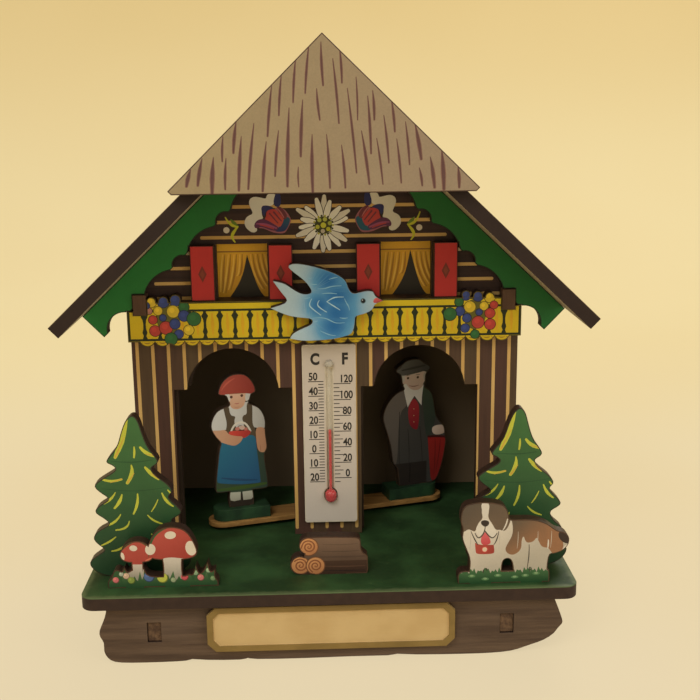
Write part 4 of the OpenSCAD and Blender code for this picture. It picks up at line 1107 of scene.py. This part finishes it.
# Trees
# Two firs cut from board, with tabs in the lawn's slots, and painted green with yellow strokes for the
# light on their boughs. Both carry the same print.
tree_strokes = (
    ([(-1.2, 49.2), (-2.4, 43.6), (-5.3, 37.6)], (0.5, 1.3, 1.9, 0.9)),
    ([(0.4, 40.7), (0.5, 39.2), (0.2, 37.5)], (0.35, 0.7, 0.5)),
    ([(2.2, 40.5), (3.6, 38.4), (6.5, 37.7)], (0.7, 1.2, 0.7)),
    ([(-0.7, 35.1), (-0.1, 32.5), (-2.2, 29.6)], (0.4, 1.3, 0.9)),
    ([(3.3, 34.3), (4.7, 32.4), (7, 30.6)], (0.7, 1.3, 0.6)),
    ([(-9.6, 31), (-7.2, 29.7), (-3.8, 30.8)], (0.6, 0.8, 0.6)),
    ([(-5.9, 26.7), (-7.1, 24.4), (-9.5, 23.3)], (0.3, 0.8, 0.5)),
    ([(-4, 26), (-4.5, 23.7), (-6.4, 21.8)], (0.4, 1.1, 0.6)),
    ([(0.6, 26.1), (0.8, 23), (-0.9, 19.9)], (0.4, 0.9, 0.5)),
    ([(6.5, 24.2), (5.7, 22.2), (4.4, 20.5)], (0.25, 0.45, 0.25)),
    ([(7.8, 26.2), (8.7, 23.4), (10.9, 22)], (0.4, 1, 0.4)),
    ([(9.6, 27.1), (11, 25), (13.8, 23.9)], (0.4, 0.8, 0.5)),
    ([(-4.7, 19.8), (-6.2, 17), (-9.5, 16.2)], (0.3, 0.8, 0.4)),
    ([(-2.3, 17.6), (-2.6, 15), (-6.4, 14.9)], (0.3, 0.7, 0.4)),
    ([(-6.6, 12.7), (-8.5, 11), (-11, 10.1)], (0.3, 0.7, 0.4)),
    ([(-3.9, 10.3), (-5.2, 8.4), (-8, 8.2)], (0.3, 0.7, 0.4)),
    ([(4, 13.4), (5.6, 11.6), (8.2, 11)], (0.3, 0.7, 0.4)),
    ([(3.2, 19.4), (4.6, 17.4), (7.4, 16.6)], (0.3, 0.7, 0.4)),
)
tier_lines = (
    [(-6.4, 36.4), (-2, 36), (2, 36.1), (5.4, 36.6)], [(-9.8, 28), (-4, 27.2), (3, 27), (10.4, 28.2)],
)
bough_yellow = flat(184, 184, 62)
bough_orange = flat(196, 150, 62)
tree_ink = ink_finish("tree_ink", 91, 0.45, 0.4, 0.12)
for tree in ("tree_left", "tree_right"):
    low, high = millimetres(tree)
    middle = np.array(((low[0] + high[0]) / 2 - 0.4, lawn_high[2]))
    shapes = [(stroke(np.array(line) + middle, 0.2, 0.4, 0.4, 0.2), flat(44, 78, 44))
              for line in tier_lines]
    for number, (line, widths) in enumerate(tree_strokes):
        path = np.array(line) + middle
        shapes.append((stroke(path, *widths), bough_yellow))
        if number in (0, 2, 3, 4, 5):
            shapes.append((stroke(path[1:] + (0.1, 0.12), 0.15, widths[-1] * 0.5), bough_orange))
    tree_edge = paint_finish(tree + "_edge", srgb(58, 52, 38), srgb(44, 38, 30), low[1], 16)
    green = fade((64, 104, 56), (36, 66, 40), (0, high[2]), (0, 30))
    printed_board(tree, "fir_green", tree_edge, tree_ink, shapes, green, 3)


# Mushrooms
# One board, with tabs in the lawn's slots, printed with a big and a small toadstool that stand in grass
# among small flowers. Each small flower has a painted shadow to its lower right and a painted
# highlight to its upper left.
cap_red = fade((178, 80, 66), (158, 60, 50), (-50, 42), (-46, 31))
cap_outline = [(-53.3, 31.2), (-52.7, 33.6), (-52.4, 35.9), (-50.4, 39.8), (-45.6, 42.2),
               (-41.1, 39.8), (-38.6, 34.8), (-39.2, 31.6), (-42.9, 31.8), (-47.9, 32.5),
               (-51.7, 30.6)]
small_cap = [(-53.1, 30.7), (-53, 34.4), (-53.6, 36.4), (-56.9, 37.7), (-61.2, 34.6), (-61.6, 31.2),
             (-59.2, 30.4), (-54.7, 30.2)]
toadstools = [
    (np.array([(-59.1, 31.2), (-54.5, 31.2), (-54.8, 25), (-59.4, 25)]),
     fade((196, 182, 164), (150, 142, 122), (0, 30), (0, 26))),
    (np.array([(-48.6, 33.4), (-42.3, 33.4), (-41.9, 25), (-49.6, 25)]),
     fade((200, 188, 170), (158, 150, 130), (0, 32), (0, 26))),
    (spline(small_cap), cap_red),
    (spline(cap_outline), cap_red),
]
for x, z, across, high, lean in (
    (-46.4, 39.2, 1.65, 1.2, 4), (-52.4, 34.9, 1.5, 1.75, -15), (-40.6, 35, 1.6, 2.3, 8),
    (-57.3, 35.4, 1.15, 0.9, -10), (-60.9, 32.7, 0.9, 1.5, 0),
):
    toadstools.append((oval(x, z, across, high, lean), flat(214, 200, 176)))
toadstools.append((oval(-52.9, 31.6, 1.3, 0.5, 20), flat(206, 110, 84)))
grass_tips = [(-65, 22), (-65, 26.2)]
for number in range(20):
    x = -64.6 + number * 1.62
    grass_tips += [(x, 25.6 + 0.9 * math.sin(number * 2.4)),
                   (x + 0.7, 27.2 + 0.9 * math.sin(number * 4.1)), (x + 1.2, 25.4)]
grass_tips.append((-32, 22))
toadstools.append((np.array(grass_tips), fade((78, 108, 66), (44, 76, 44), (0, 27.5), (0, 24))))
for x, z, radius, colour in (
    (-63, 25.6, 0.95, (206, 112, 108)), (-59.9, 26.8, 1, (204, 170, 140)),
    (-58.5, 25.4, 1.1, (136, 150, 70)), (-53.3, 26.4, 1.6, (84, 104, 140)),
    (-49.4, 26, 1.6, (190, 190, 78)), (-42.9, 26.1, 1.1, (202, 84, 86)),
    (-38.2, 25.8, 1, (206, 120, 112)), (-39.6, 27.3, 0.8, (142, 166, 124)),
    (-35.8, 28, 0.8, (150, 172, 132)), (-46.2, 25.2, 0.8, (150, 160, 120)),
    (-61.3, 27.4, 0.7, (170, 176, 150)), (-34.6, 25.4, 0.8, (118, 142, 96)),
):
    tint = np.array(colour)
    # A darker copy moved down and to the right is a painted shadow; the lighter upper-left spot is a
    # painted highlight.
    toadstools += [(oval(x + 0.12, z - 0.12, radius), flat(*(tint * 0.62))),
                   (oval(x, z, radius * 0.9), flat(*tint)),
                   (oval(x - radius * 0.25, z + radius * 0.2, radius * 0.35),
                    flat(*np.minimum(tint * 1.15, 255)))]
mushroom_edge = paint_finish("mushroom_edge", srgb(96, 60, 42), srgb(66, 46, 34),
                             front_of("mushrooms"), 17)
mushroom_ink = ink_finish("mushroom_ink", 101, 0.4, 0.2, 0.12)
printed_board("mushrooms", "mushroom_print", mushroom_edge, mushroom_ink, toadstools, flat(52, 84, 48),
              2)


# Dog
# A big brown and white dog with a red collar and a plain tag, cut from board and printed. It stands in
# grass, and its tabs sit in the lawn's slots.
dog_dark = fade((84, 74, 62), (104, 86, 68), (38, 48), (44, 40))
dog_brown = fade((100, 84, 66), (146, 104, 72), (55, 42), (60, 36))
dog_line = flat(74, 66, 58)
dog_outlines = [
    (spline([(52.4, 44), (56, 44), (60, 43.2), (64.4, 41.2), (67.6, 38), (68.4, 33.6), (67.3, 30.8),
             (65.4, 31.2), (63.8, 33.9), (62.8, 33.8), (61.7, 34.3), (61, 35.6), (60.3, 37.3),
             (59.5, 35.9), (58, 35.4), (57, 35.8), (56.4, 37.9), (55.8, 36.2), (55.9, 33.8),
             (54.7, 32.3), (53.2, 31.7), (51.7, 32.3), (51, 33.7), (51.9, 35.6), (53.2, 38),
             (53.2, 41)]), dog_brown),
    (spline([(37, 43), (38, 48.6), (42, 49.4), (44.4, 48), (43.9, 45.3), (44.5, 43.4), (43, 42),
             (42.3, 39.2), (41.2, 39.7), (40.2, 40.2), (38.9, 39.2), (37, 39)]), dog_dark),
    (spline([(45.7, 48.4), (48, 49.6), (51.5, 48.8), (53, 45.7), (52.4, 42), (51.4, 39.7),
             (50.3, 39.2), (49.5, 39.8), (48.2, 39.6), (47.2, 41.6), (45.8, 43.6), (46.2, 45.8)]),
     dog_dark),
    (spline([(43.7, 47.6), (44.9, 48.6), (46.2, 47.8), (46.2, 46), (45.4, 43.6), (44.6, 43.6),
             (44.2, 45.6)]), flat(208, 198, 180)),
    (stroke([(50.2, 39.4), (51.3, 41), (51.6, 43)], 0.2, 0.5, 0.3), flat(208, 198, 180)),
    (spline([(44.9, 43.7), (46.9, 41.8), (48.4, 39.2), (48.4, 37.9), (47.2, 37.1), (45.9, 38),
             (45.1, 39.5), (43.9, 37.7), (42.7, 38.6), (42.3, 40.4), (43.5, 42.2)]),
     flat(212, 202, 184)),
    (spline([(44.4, 38.9), (45.7, 39.1), (46.6, 36.9), (46.9, 35.6), (45.7, 35), (44.2, 35.2),
             (43.8, 36.5)]), fade((206, 98, 100), (190, 70, 74), (45, 39), (45, 35))),
    (stroke([(45.1, 40.9), (45.1, 39.4), (43.9, 37.5), (42.8, 37.3), (42.2, 38.8)], 0.25, 0.4, 0.4,
            0.25), dog_line),
    (stroke([(45.1, 39.4), (46.4, 37.5), (47.8, 37.1), (48.6, 38.7)], 0.35, 0.4, 0.25), dog_line),
    (spline([(43.8, 42.6), (45.1, 42.9), (46.3, 42.4), (46.2, 41.3), (45.1, 40.6), (43.9, 41.5)]),
     flat(56, 46, 40)),
    (spline([(42.2, 35.9), (42.2, 35.9), (43.8, 35.1), (47.7, 35.1), (47.7, 35.1), (48, 33),
             (47.6, 32.2), (42.8, 32.2), (42.4, 33.1)]),
     fade((168, 72, 58), (150, 58, 48), (43, 35), (48, 33))),
    (oval(45.1, 33.7, 1, 1), flat(190, 70, 62)),
    (oval(45.1, 33.7, 0.7, 0.7), flat(216, 190, 160)),
    (stroke([(41, 39.4), (42.2, 36.5), (43.1, 35.2)], 0.2, 0.4, 0.25), dog_line),
    (stroke([(49.1, 39.2), (48.7, 36.3), (47.8, 35.2)], 0.2, 0.4, 0.25), dog_line),
    (stroke([(58.1, 34.9), (58.3, 31), (57.7, 27.6)], 0.2, 0.35, 0.2), dog_line),
    (stroke([(63.7, 36.2), (63.8, 34.9), (63.6, 33.5)], 0.3, 0.5, 0.2), flat(208, 198, 180)),
    (spline([(67, 36.2), (66.4, 38.4), (68.2, 39.4), (70, 37.6), (70.8, 35.2), (69, 34.8)]),
     flat(58, 46, 38)),
    (spline([(70.8, 35), (68.6, 34.6), (67.8, 33), (67, 30.2), (69.6, 30), (72, 33)]),
     flat(206, 194, 174)),
    (stroke([(44.7, 26.2), (45.5, 29.2), (46.2, 26.2)], 0.7, 0.5, 0.7), flat(56, 62, 44)),
    (stroke([(58.2, 26.2), (58.6, 29.4), (59, 26.2)], 0.7, 0.4, 0.6), flat(62, 72, 50)),
]
for x in (40.9, 49.4, 54.8, 60.6, 64.6):
    dog_outlines.append((stroke([(x, 39), (x + 0.1, 36.4), (x - 0.2, 33.8)], 0.1, 0.22, 0.1),
                         flat(184, 172, 154)))
dog_grass = [(30, 20), (30, 26.6)]
for number in range(30):
    x = 36.4 + number * 1.05
    dog_grass += [(x, 26.5 + 0.4 * math.sin(number * 2.9)),
                  (x + 0.45, 27.5 + 0.5 * math.sin(number * 1.7))]
dog_grass += [(75, 26.6), (75, 20)]
dog_outlines.append((np.array(dog_grass), fade((66, 104, 62), (40, 74, 42), (0, 27.5), (0, 24))))
for x, z in ((41.4, 25.4), (49.1, 25.4), (54.1, 24.8), (60.4, 25.8), (45.4, 24.4), (57.2, 25.2)):
    dog_outlines += [(oval(x, z, 1.1, 0.5), flat(84, 122, 76)),
                     (oval(x, z + 0.1, 0.55, 0.3), flat(132, 158, 112))]
dog_edge = paint_finish("dog_edge", srgb(92, 68, 48), srgb(64, 46, 34), front_of("dog"), 18)
printed_board("dog", "dog_print", dog_edge, ink_finish("dog_ink", 111, 0.4, 0.16, 0.12), dog_outlines,
              fade((206, 194, 174), (176, 166, 146), (45, 38), (50, 27)), 2)


# Logs
# Three logs cut from one board that stands in the lawn's slots: two lie beside each other and one on
# top, with rings printed on their ends.
logs = [
    (np.array([(-12, 22), (12, 22), (12, 27.3), (-2.4, 27.3), (-12, 27.3)]),
     fade((72, 50, 36), (54, 36, 26), (0, 27), (0, 23))),
    (stroke([(-3, 28.6), (4, 28.3), (10.8, 28.6)], 0.3, 0.7, 0.3), flat(84, 64, 50)),
    (stroke([(-2, 32.6), (3, 32.2), (8.4, 32.6)], 0.2, 0.4, 0.2), flat(100, 78, 60)),
    (stroke([(-2.4, 30.4), (4, 30), (8.8, 30.4)], 0.2, 0.4, 0.2), flat(88, 68, 52)),
    (stroke([(-2, 25.6), (4, 25.2), (10.6, 25.5)], 0.2, 0.5, 0.2), flat(86, 60, 44)),
    (stroke([(-1.6, 24.2), (4, 23.9), (10.4, 24.1)], 0.2, 0.4, 0.2), flat(44, 30, 24)),
]
coil = np.linspace(0.6, 2.3 * 2 * math.pi, 26)
for x, z, start in ((-8.9, 26, 0.6), (-4.4, 25.8, 2.4), (-6.3, 31.9, 1.4)):
    rings = np.stack((x + 0.155 * coil * np.cos(coil + start),
                      z + 0.155 * coil * np.sin(coil + start)), 1)
    logs += [
        (oval(x, z, 2.95), flat(112, 72, 46)),
        (oval(x, z, 2.65), fade((206, 146, 92), (176, 116, 72), (x - 1, z + 2.5), (x + 1, z - 2.5))),
        (stroke(rings, 0.25, 0.4, 0.45, 0.4), flat(136, 82, 50)),
    ]
log_edge = paint_finish("log_edge", srgb(88, 62, 44), srgb(60, 42, 32), front_of("log_pile"), 19)
printed_board("log_pile", "log_print", log_edge, ink_finish("log_ink", 121, 0.5, 0.3, 0.16), logs,
              fade((118, 92, 72), (92, 70, 54), (0, 34), (0, 28)), 2)


# Figure arm
# A bare wooden bar that hangs level on the gut, with a green block glued on each end for a figure.
arm_turn = 16
arm_middle = (0, 13, 0)
arm_wood = bare_wood("arm_wood", srgb(172, 128, 70), srgb(132, 94, 50), "X", 8)
cut_board("figure_arm", arm_wood, "figure_arm")
stand_paint = speckled("stand_paint", srgb(44, 74, 46), srgb(32, 54, 36), 5, 9, 0.45)
for stand in ("stand_woman", "stand_man"):
    cut_board(stand, stand_paint, "figure_arm")


# Woman
# A flat figure cut from thinner board and printed, whose tab sits in its block. It wears a red hat, a
# white blouse and a blue apron, and has a basket on its arm.
cloth_white = fade((206, 204, 196), (182, 178, 168), (-36, 64), (-22, 56))
bodice = flat(84, 70, 52)
skin = fade((206, 158, 124), (190, 140, 106), (-38, 57), (-30, 52))
face_skin = fade((216, 176, 148), (202, 154, 122), (-31, 69), (-31, 64))
woman_shapes = [
    (np.array([(-43, 49), (-18, 49), (-18, 34.9), (-30.5, 34.7), (-43, 35.6)]),
     fade((58, 76, 52), (52, 68, 56), (-39, 40), (-21, 44))),
    (stroke([(-38.6, 36.6), (-31, 36.2), (-22, 37)], 0.6, 1.4, 0.8), flat(64, 88, 40)),
    (np.array([(-34.6, 35.2), (-30.7, 35), (-30.8, 32.2), (-33, 32), (-34.2, 32.4)]),
     fade((190, 188, 166), (164, 160, 140), (0, 35), (0, 32))),
    (np.array([(-30.1, 35), (-26.3, 35), (-26.5, 32.6), (-27.2, 32), (-29.9, 32)]),
     fade((190, 188, 166), (164, 160, 140), (0, 35), (0, 32))),
    (spline([(-39.4, 64.6), (-36, 66), (-30.4, 65.6), (-25.4, 66.2), (-20.4, 64), (-19, 57),
             (-21.6, 56.3), (-25, 56.7), (-27.6, 58), (-31, 57), (-35, 57.2), (-39.4, 56.4),
             (-42, 58)]), cloth_white),
    (spline([(-35.6, 65.4), (-35, 66.2), (-33.6, 65.2), (-33.3, 61.7), (-31.4, 61.4), (-32, 60),
             (-31.8, 58), (-30, 55), (-34.9, 54), (-35, 56.6), (-34.4, 59), (-35, 62)]), bodice),
    (spline([(-27.8, 65.6), (-25.8, 66.4), (-25.8, 62), (-26, 58.1), (-24.9, 56), (-24.5, 52.6),
             (-28.6, 52.6), (-28.8, 58.6), (-29.4, 60.3), (-28.9, 61.5), (-27.6, 61.6)]), bodice),
    (spline([(-36.9, 53.6), (-34, 53.4), (-29.4, 54.2), (-24.9, 54.6), (-24.8, 49.2), (-24.4, 45.7),
             (-23.8, 38), (-23.8, 37.4), (-30.9, 37.6), (-37.7, 38.8), (-38.5, 39.3), (-38.3, 42),
             (-37.4, 48)]), fade((38, 104, 128), (42, 88, 124), (-34, 52), (-25, 40))),
    (stroke([(-36.8, 40.6), (-31, 39), (-25, 38.6)], 0.4, 0.9, 0.4), flat(38, 74, 106)),
    (stroke([(-33.3, 56), (-32.4, 58.4), (-29.9, 59.4), (-27.6, 58.2), (-26.7, 55.8)], 0.6, 0.7, 0.7,
            0.6), flat(214, 206, 188)),
    (stroke([(-31.6, 56.6), (-30.8, 58), (-29.4, 58), (-28.4, 56.8)], 0.2, 0.3, 0.2),
     flat(120, 92, 76)),
    (oval(-31, 57, 0.8, 0.6), flat(196, 120, 104)),
    (oval(-29.4, 57.2, 0.9, 0.7), flat(206, 172, 152)),
    (oval(-28.2, 56.6, 0.6), flat(190, 112, 96)),
    (spline([(-34.2, 56), (-33.2, 56.6), (-30, 56.2), (-27, 56.2), (-26.4, 55.6), (-27.4, 54.2),
             (-29.3, 53.4), (-31.6, 54.6), (-33.5, 55)]),
     fade((206, 70, 56), (170, 50, 44), (-33, 56), (-28, 54))),
    (spline([(-39.9, 57.4), (-39.4, 55.4), (-37.9, 53.6), (-34.6, 52), (-32, 51.1), (-29.9, 52.4),
             (-29.1, 54.2), (-30.8, 54.4), (-34, 55.2), (-35, 57.2), (-37, 57)]), skin),
    (spline([(-25, 56.6), (-23.4, 56.9), (-21.6, 56.3), (-21.5, 51.8), (-20.9, 49.3), (-22.2, 47.7),
             (-24.4, 48.5), (-24.8, 52.1)]), skin),
    (stroke([(-23.6, 48.2), (-23.4, 49.4), (-23.5, 50.6)], 0.12, 0.22, 0.12), flat(164, 112, 84)),
    (spline([(-34.5, 69.6), (-34.1, 68), (-33.2, 66.5), (-33.2, 65), (-32.3, 63.9), (-30.4, 63.6),
             (-28.6, 64.6), (-28.2, 66), (-27.4, 67.1), (-26.5, 69.6)]), face_skin),
    (spline([(-35.6, 69.4), (-34.4, 69.6), (-33.2, 69), (-33, 67.4), (-33.2, 66.3), (-34.4, 67.4)]),
     cloth_white),
    (spline([(-25.9, 69.4), (-27.4, 69.4), (-28, 68.4), (-28.1, 67), (-27.8, 65.9), (-26.4, 67.1)]),
     cloth_white),
    (stroke([(-34.2, 69.2), (-30.4, 69.4), (-26.6, 69)], 0.4, 0.7, 0.4), flat(150, 92, 68)),
    (oval(-32.7, 68, 0.48), flat(88, 56, 44)),
    (oval(-29.2, 68.2, 0.48), flat(88, 56, 44)),
    (stroke([(-31.6, 65.7), (-30.9, 65.45), (-30.2, 65.7)], 0.15, 0.32, 0.15), flat(178, 96, 84)),
    (stroke([(-31.7, 64.5), (-30.9, 64.25), (-30.1, 64.5)], 0.1, 0.2, 0.1), flat(176, 124, 100)),
    (spline([(-38.2, 68.6), (-38.4, 71.3), (-36, 75.4), (-31, 77.2), (-26, 75), (-23.8, 71),
             (-23.6, 68.5), (-26.3, 68.5), (-28.4, 69), (-31.2, 69.2), (-34.4, 69.2), (-36, 68.4)]),
     fade((168, 74, 60), (150, 54, 44), (-34, 75), (-26, 69))),
    # The lighter stroke on the hat's upper left is a painted highlight.
    (stroke([(-35.8, 70.6), (-34.4, 73), (-31.4, 74.2)], 0.2, 0.7, 0.2), flat(190, 90, 72)),
]
figure_edge = speckled("figure_edge", srgb(72, 54, 40), srgb(54, 42, 32), 4, 10, 0.55)
printed_board("woman", "woman_print", figure_edge, ink_finish("woman_ink", 131, 0.42, 0.1, 0.08),
              woman_shapes, flat(46, 38, 30), 1.5, "figure_arm", degrees=arm_turn, centre=arm_middle)


# Man
# A flat figure cut from thinner board and printed, whose tab sits in its block. It wears a grey hat and
# a long dark coat over a red waistcoat, and holds a closed red umbrella.
coat = fade((76, 72, 66), (62, 60, 56), (26, 60), (34, 34))
man_shapes = [
    (spline([(29, 67), (25, 66), (20, 63.5), (17.6, 56.3), (19.2, 52.8), (22.2, 48.4), (22.8, 37.6),
             (25.2, 37.6), (25.6, 56.7), (28.6, 58.9), (29.2, 62)]),
     fade((116, 106, 96), (92, 84, 76), (22, 62), (25, 40))),
    (spline([(34.4, 66.6), (38, 64.6), (39.4, 60), (39.6, 54), (37.6, 48), (35.8, 46), (34.6, 57)]),
     fade((70, 82, 64), (56, 64, 54), (36, 64), (38, 52))),
    (stroke([(25.9, 57), (25.6, 48), (25.8, 38)], 0.2, 0.3, 0.2), flat(46, 42, 38)),
    (stroke([(29, 50.6), (29.6, 44), (29.4, 38)], 0.2, 0.3, 0.2), flat(46, 42, 38)),
    (stroke([(33.4, 51), (34.2, 44), (34.4, 38)], 0.2, 0.3, 0.2), flat(46, 42, 38)),
    (np.array([(24, 38.2), (36, 38.2), (36, 29), (24, 29)]), flat(44, 38, 34)),
    (stroke([(29.8, 38), (29.8, 34), (29.6, 31)], 0.3, 0.5, 0.3), flat(28, 24, 22)),
    (spline([(31, 61.8), (32.5, 60.1), (33.3, 58), (32.9, 50.8), (32.1, 49.8), (29.9, 51.2),
             (29.1, 54.3), (29, 58.4)]), fade((172, 52, 56), (132, 34, 42), (31, 60), (31, 51))),
    (oval(31.2, 57.6, 0.2), flat(206, 170, 120)),
    (oval(31.2, 55.2, 0.2), flat(206, 170, 120)),
    (oval(31.2, 52.9, 0.2), flat(206, 170, 120)),
    (spline([(25.8, 70), (26.6, 70.8), (30.7, 70.6), (34, 71), (36.2, 70.4), (36, 68), (34.7, 66.9),
             (34.1, 64.4), (32.3, 63.4), (29.7, 64.1), (27.9, 66), (26.4, 68.1)]),
     fade((234, 208, 188), (214, 182, 160), (30, 70), (31, 64))),
    (spline([(25.8, 70), (26.8, 70.4), (28, 69.8), (27.8, 67.6), (26.8, 67.2), (26, 68.4)]),
     flat(214, 204, 190)),
    (spline([(36.4, 70.6), (34.8, 70.4), (34.6, 68.8), (35, 67), (36.2, 67.8)]), flat(206, 192, 176)),
    (spline([(27.2, 66.4), (28.2, 67.2), (29.7, 64.8), (32.3, 64.1), (34.1, 65), (34.9, 66.6),
             (34.2, 62.4), (34, 58.6), (34, 58.6), (32.6, 60.6), (31.4, 62.3), (31.4, 62.3),
             (30.2, 60.6), (28.9, 58.4), (28.9, 58.4), (28.2, 61.2), (27.6, 64)]),
     fade((236, 230, 218), (222, 214, 200), (31, 66), (31, 59))),
    (stroke([(29.4, 66.1), (31.2, 65.4), (33, 66)], 0.15, 0.35, 0.15), flat(150, 96, 84)),
    (oval(29, 68.8, 0.45), flat(86, 62, 48)),
    (oval(32.6, 68.8, 0.45), flat(86, 62, 48)),
    (stroke([(28.2, 69.6), (29, 69.9), (29.8, 69.7)], 0.1, 0.22, 0.1), flat(140, 118, 100)),
    (stroke([(31.8, 69.7), (32.6, 69.9), (33.4, 69.6)], 0.1, 0.22, 0.1), flat(140, 118, 100)),
    (spline([(37.8, 50.8), (42.6, 51), (43.8, 48.3), (41.3, 47.2), (38.2, 47.6)]),
     fade((216, 192, 172), (186, 160, 138), (39, 50), (42, 48))),
    (spline([(36.4, 46.8), (36.4, 46.8), (44, 46), (44, 43.6), (41.6, 35.5), (39.6, 30.4),
             (37.6, 30.6), (37.2, 35.9)]), fade((152, 40, 34), (128, 34, 30), (37, 45), (41, 36))),
    (stroke([(39.2, 46), (39.4, 40), (38.8, 33)], 0.2, 0.35, 0.2), flat(98, 28, 26)),
    (stroke([(41.2, 45.6), (41, 41), (39.6, 34)], 0.2, 0.35, 0.2), flat(98, 28, 26)),
    (stroke([(36.6, 47), (40, 46.9), (44, 46.1)], 0.7, 0.8, 0.7), flat(70, 26, 24)),
    (spline([(23.6, 70.2), (24.6, 71.8), (26.6, 72.4), (27.4, 75.4), (30.2, 76.6), (33.4, 76.2),
             (35.6, 73.6), (38.2, 73), (38, 71.6), (33.8, 70.6), (30.7, 70.1), (27.6, 69.7)]),
     fade((110, 108, 100), (86, 84, 80), (28, 75), (33, 70))),
    (stroke([(26.9, 71.7), (31, 72.2), (35.2, 72.8)], 0.5, 0.9, 0.5), flat(70, 68, 64)),
]
printed_board("man", "man_print", figure_edge, ink_finish("man_ink", 141, 0.42, 0.12, 0.1),
              man_shapes, coat, 1.5, "figure_arm", degrees=arm_turn, centre=arm_middle)


# Gut and its fittings
# A twisted gut that hangs from a knurled brass peg, which turns in a wooden bar behind the gable. A
# brass collar grips it on the arm. The bar rests on a block behind the wall.
def closed_grid(name, points, material):
    """A closed ring of profiles as a smooth mesh, with the turns first and the profile second."""
    turns, along = points.shape[:2]
    row = np.arange(turns)[:, None] * along
    column = np.arange(along)[None]
    after_row, after_column = np.roll(row, -1, 0), np.roll(column, -1, 1)
    corners = row + column, after_row + column, after_row + after_column, row + after_column
    faces = np.stack(corners, -1)
    mesh = bpy.data.meshes.new(name)
    mesh.from_pydata((points.reshape(-1, 3) * MM).tolist(), [], faces.reshape(-1, 4).tolist())
    mesh.polygons.foreach_set("use_smooth", np.ones(len(mesh.polygons), bool))
    mesh.set_sharp_from_angle(angle=math.radians(40))
    mesh.materials.append(material)
    return placed(name, mesh)


def turned_piece(name, profile, material, teeth=0, tooth=0):
    """A lathe part round the gut, (r, z) clockwise, whose marked radii get teeth of the given depth.

    The tooth is a raised cosine: r - depth (1 + cos(teeth t)) / 2 where the third value is 1.
    """
    profile = np.array(profile, float)
    turn = np.linspace(0, 2 * math.pi, 288, endpoint=False)[:, None]
    radius = profile[None, :, 0] - profile[None, :, 2] * tooth * (1 + np.cos(teeth * turn)) / 2
    points = np.stack((radius * np.cos(turn), radius * np.sin(turn) + arm_middle[1],
                       np.broadcast_to(profile[None, :, 1], radius.shape)), -1)
    return closed_grid(name, points, material)


brass = Finish("brass", Metallic=1)
lathe_rings = brass.noise((400, 400, 0.35), 2, 12)
dull = brass.noise((2.5, 2.5, 2.5), 4, 13)
brass_tint = brass.mix(dull.ramp(0.35, 0.75), srgb(206, 168, 92), srgb(166, 128, 66))
brass.finished(brass_tint, 0.25 + dull * 0.3, lathe_rings, 0.01)
peg_low, peg_high = millimetres("adjusting_peg")
knob_radius = (peg_high[0] - peg_low[0]) / 2
knob_foot = peg_high[2] - 5
peg_radius = 2.3
bore = 0.45
edge = 0.4
peg = turned_piece("peg_knurled", (
    (bore, peg_low[2], 0), (peg_radius - edge, peg_low[2], 0), (peg_radius, peg_low[2] + edge, 0),
    (peg_radius, knob_foot, 0), (knob_radius - edge, knob_foot, 0), (knob_radius, knob_foot + edge, 1),
    (knob_radius, peg_high[2] - edge, 1), (knob_radius - edge, peg_high[2], 0),
    (1.6, peg_high[2], 0), (1.2, peg_high[2] - 0.5, 0), (bore, peg_high[2] - 0.6, 0),
), brass.material, 36, 0.35)
fastened(peg, "adjusting_peg", "adjusting_peg")
hub_low, hub_high = millimetres("arm_hub")
hub_radius = (hub_high[0] - hub_low[0]) / 2
hub_bore = 0.42
neck_radius = hub_radius * 0.6
neck_foot = hub_high[2] - 2
collar = turned_piece("hub_collar", (
    (hub_bore, hub_low[2], 0), (hub_radius - 0.2, hub_low[2], 0), (hub_radius, hub_low[2] + 0.2, 0),
    (hub_radius, neck_foot - edge, 0), (hub_radius - edge, neck_foot, 0),
    (neck_radius, neck_foot, 0), (neck_radius, hub_high[2] - 0.3, 0),
    (neck_radius - 0.3, hub_high[2], 0), (hub_bore, hub_high[2], 0),
), brass.material)
fastened(collar, "figure_arm", "arm_hub")

gut_low, gut_high = millimetres("gut")
gut_radius = 0.4
gut_pitch = 3.2
knot_radius = (gut_high[0] - gut_low[0]) / 2
knot_middle = gut_high[2] - knot_radius
levels = np.concatenate((np.linspace(gut_low[2], knot_middle - knot_radius, 240),
                         knot_middle - knot_radius * np.cos(np.linspace(0.15, math.pi, 14))))
# The knot is a ball of radius sqrt(r^2 - h^2) at h from its middle, and under it the gut is even. Its
# strands swell and dip around it as 1 - g + g |cos(a - twist)|, where the twist grows with the height.
swell = np.sqrt(np.maximum(knot_radius ** 2 - (levels - knot_middle) ** 2, 0))
swell = np.where(levels > knot_middle, swell, np.maximum(swell, gut_radius))
sides = 16
around = np.linspace(0, 2 * math.pi, sides, endpoint=False)[None, :]
twist = 2 * math.pi * levels[:, None] / gut_pitch
groove = 0.14
strand = 1 - groove + groove * np.abs(np.cos(around - twist))
radius = swell[:, None] * strand
rows = np.stack((radius * np.cos(around), radius * np.sin(around) + arm_middle[1],
                 np.broadcast_to(levels[:, None], radius.shape)), -1)
count = rows.shape[0]
first = np.arange((count - 1) * sides).reshape(count - 1, sides)
after = np.roll(first, -1, 1)
quads = np.stack((first, after, after + sides, first + sides), -1).reshape(-1, 4).tolist()
gut_mesh = bpy.data.meshes.new("gut_twisted")
ends = [list(range(sides))[::-1], list(range((count - 1) * sides, count * sides))]
gut_mesh.from_pydata((rows.reshape(-1, 3) * MM).tolist(), [], quads + ends)
gut_mesh.polygons.foreach_set("use_smooth", np.ones(len(gut_mesh.polygons), bool))
gut_string = speckled("gut_string", srgb(208, 184, 136), srgb(178, 150, 104), 1.2, 14, 0.45)
gut_mesh.materials.append(gut_string)
fastened(placed("gut_twisted", gut_mesh), "figure_arm", "gut")

bar_wood = bare_wood("bar_wood", srgb(150, 118, 82), srgb(118, 90, 62), "Y", 15)
for part in ("gut_bar", "bar_cleat"):
    cut_board(part, bar_wood)
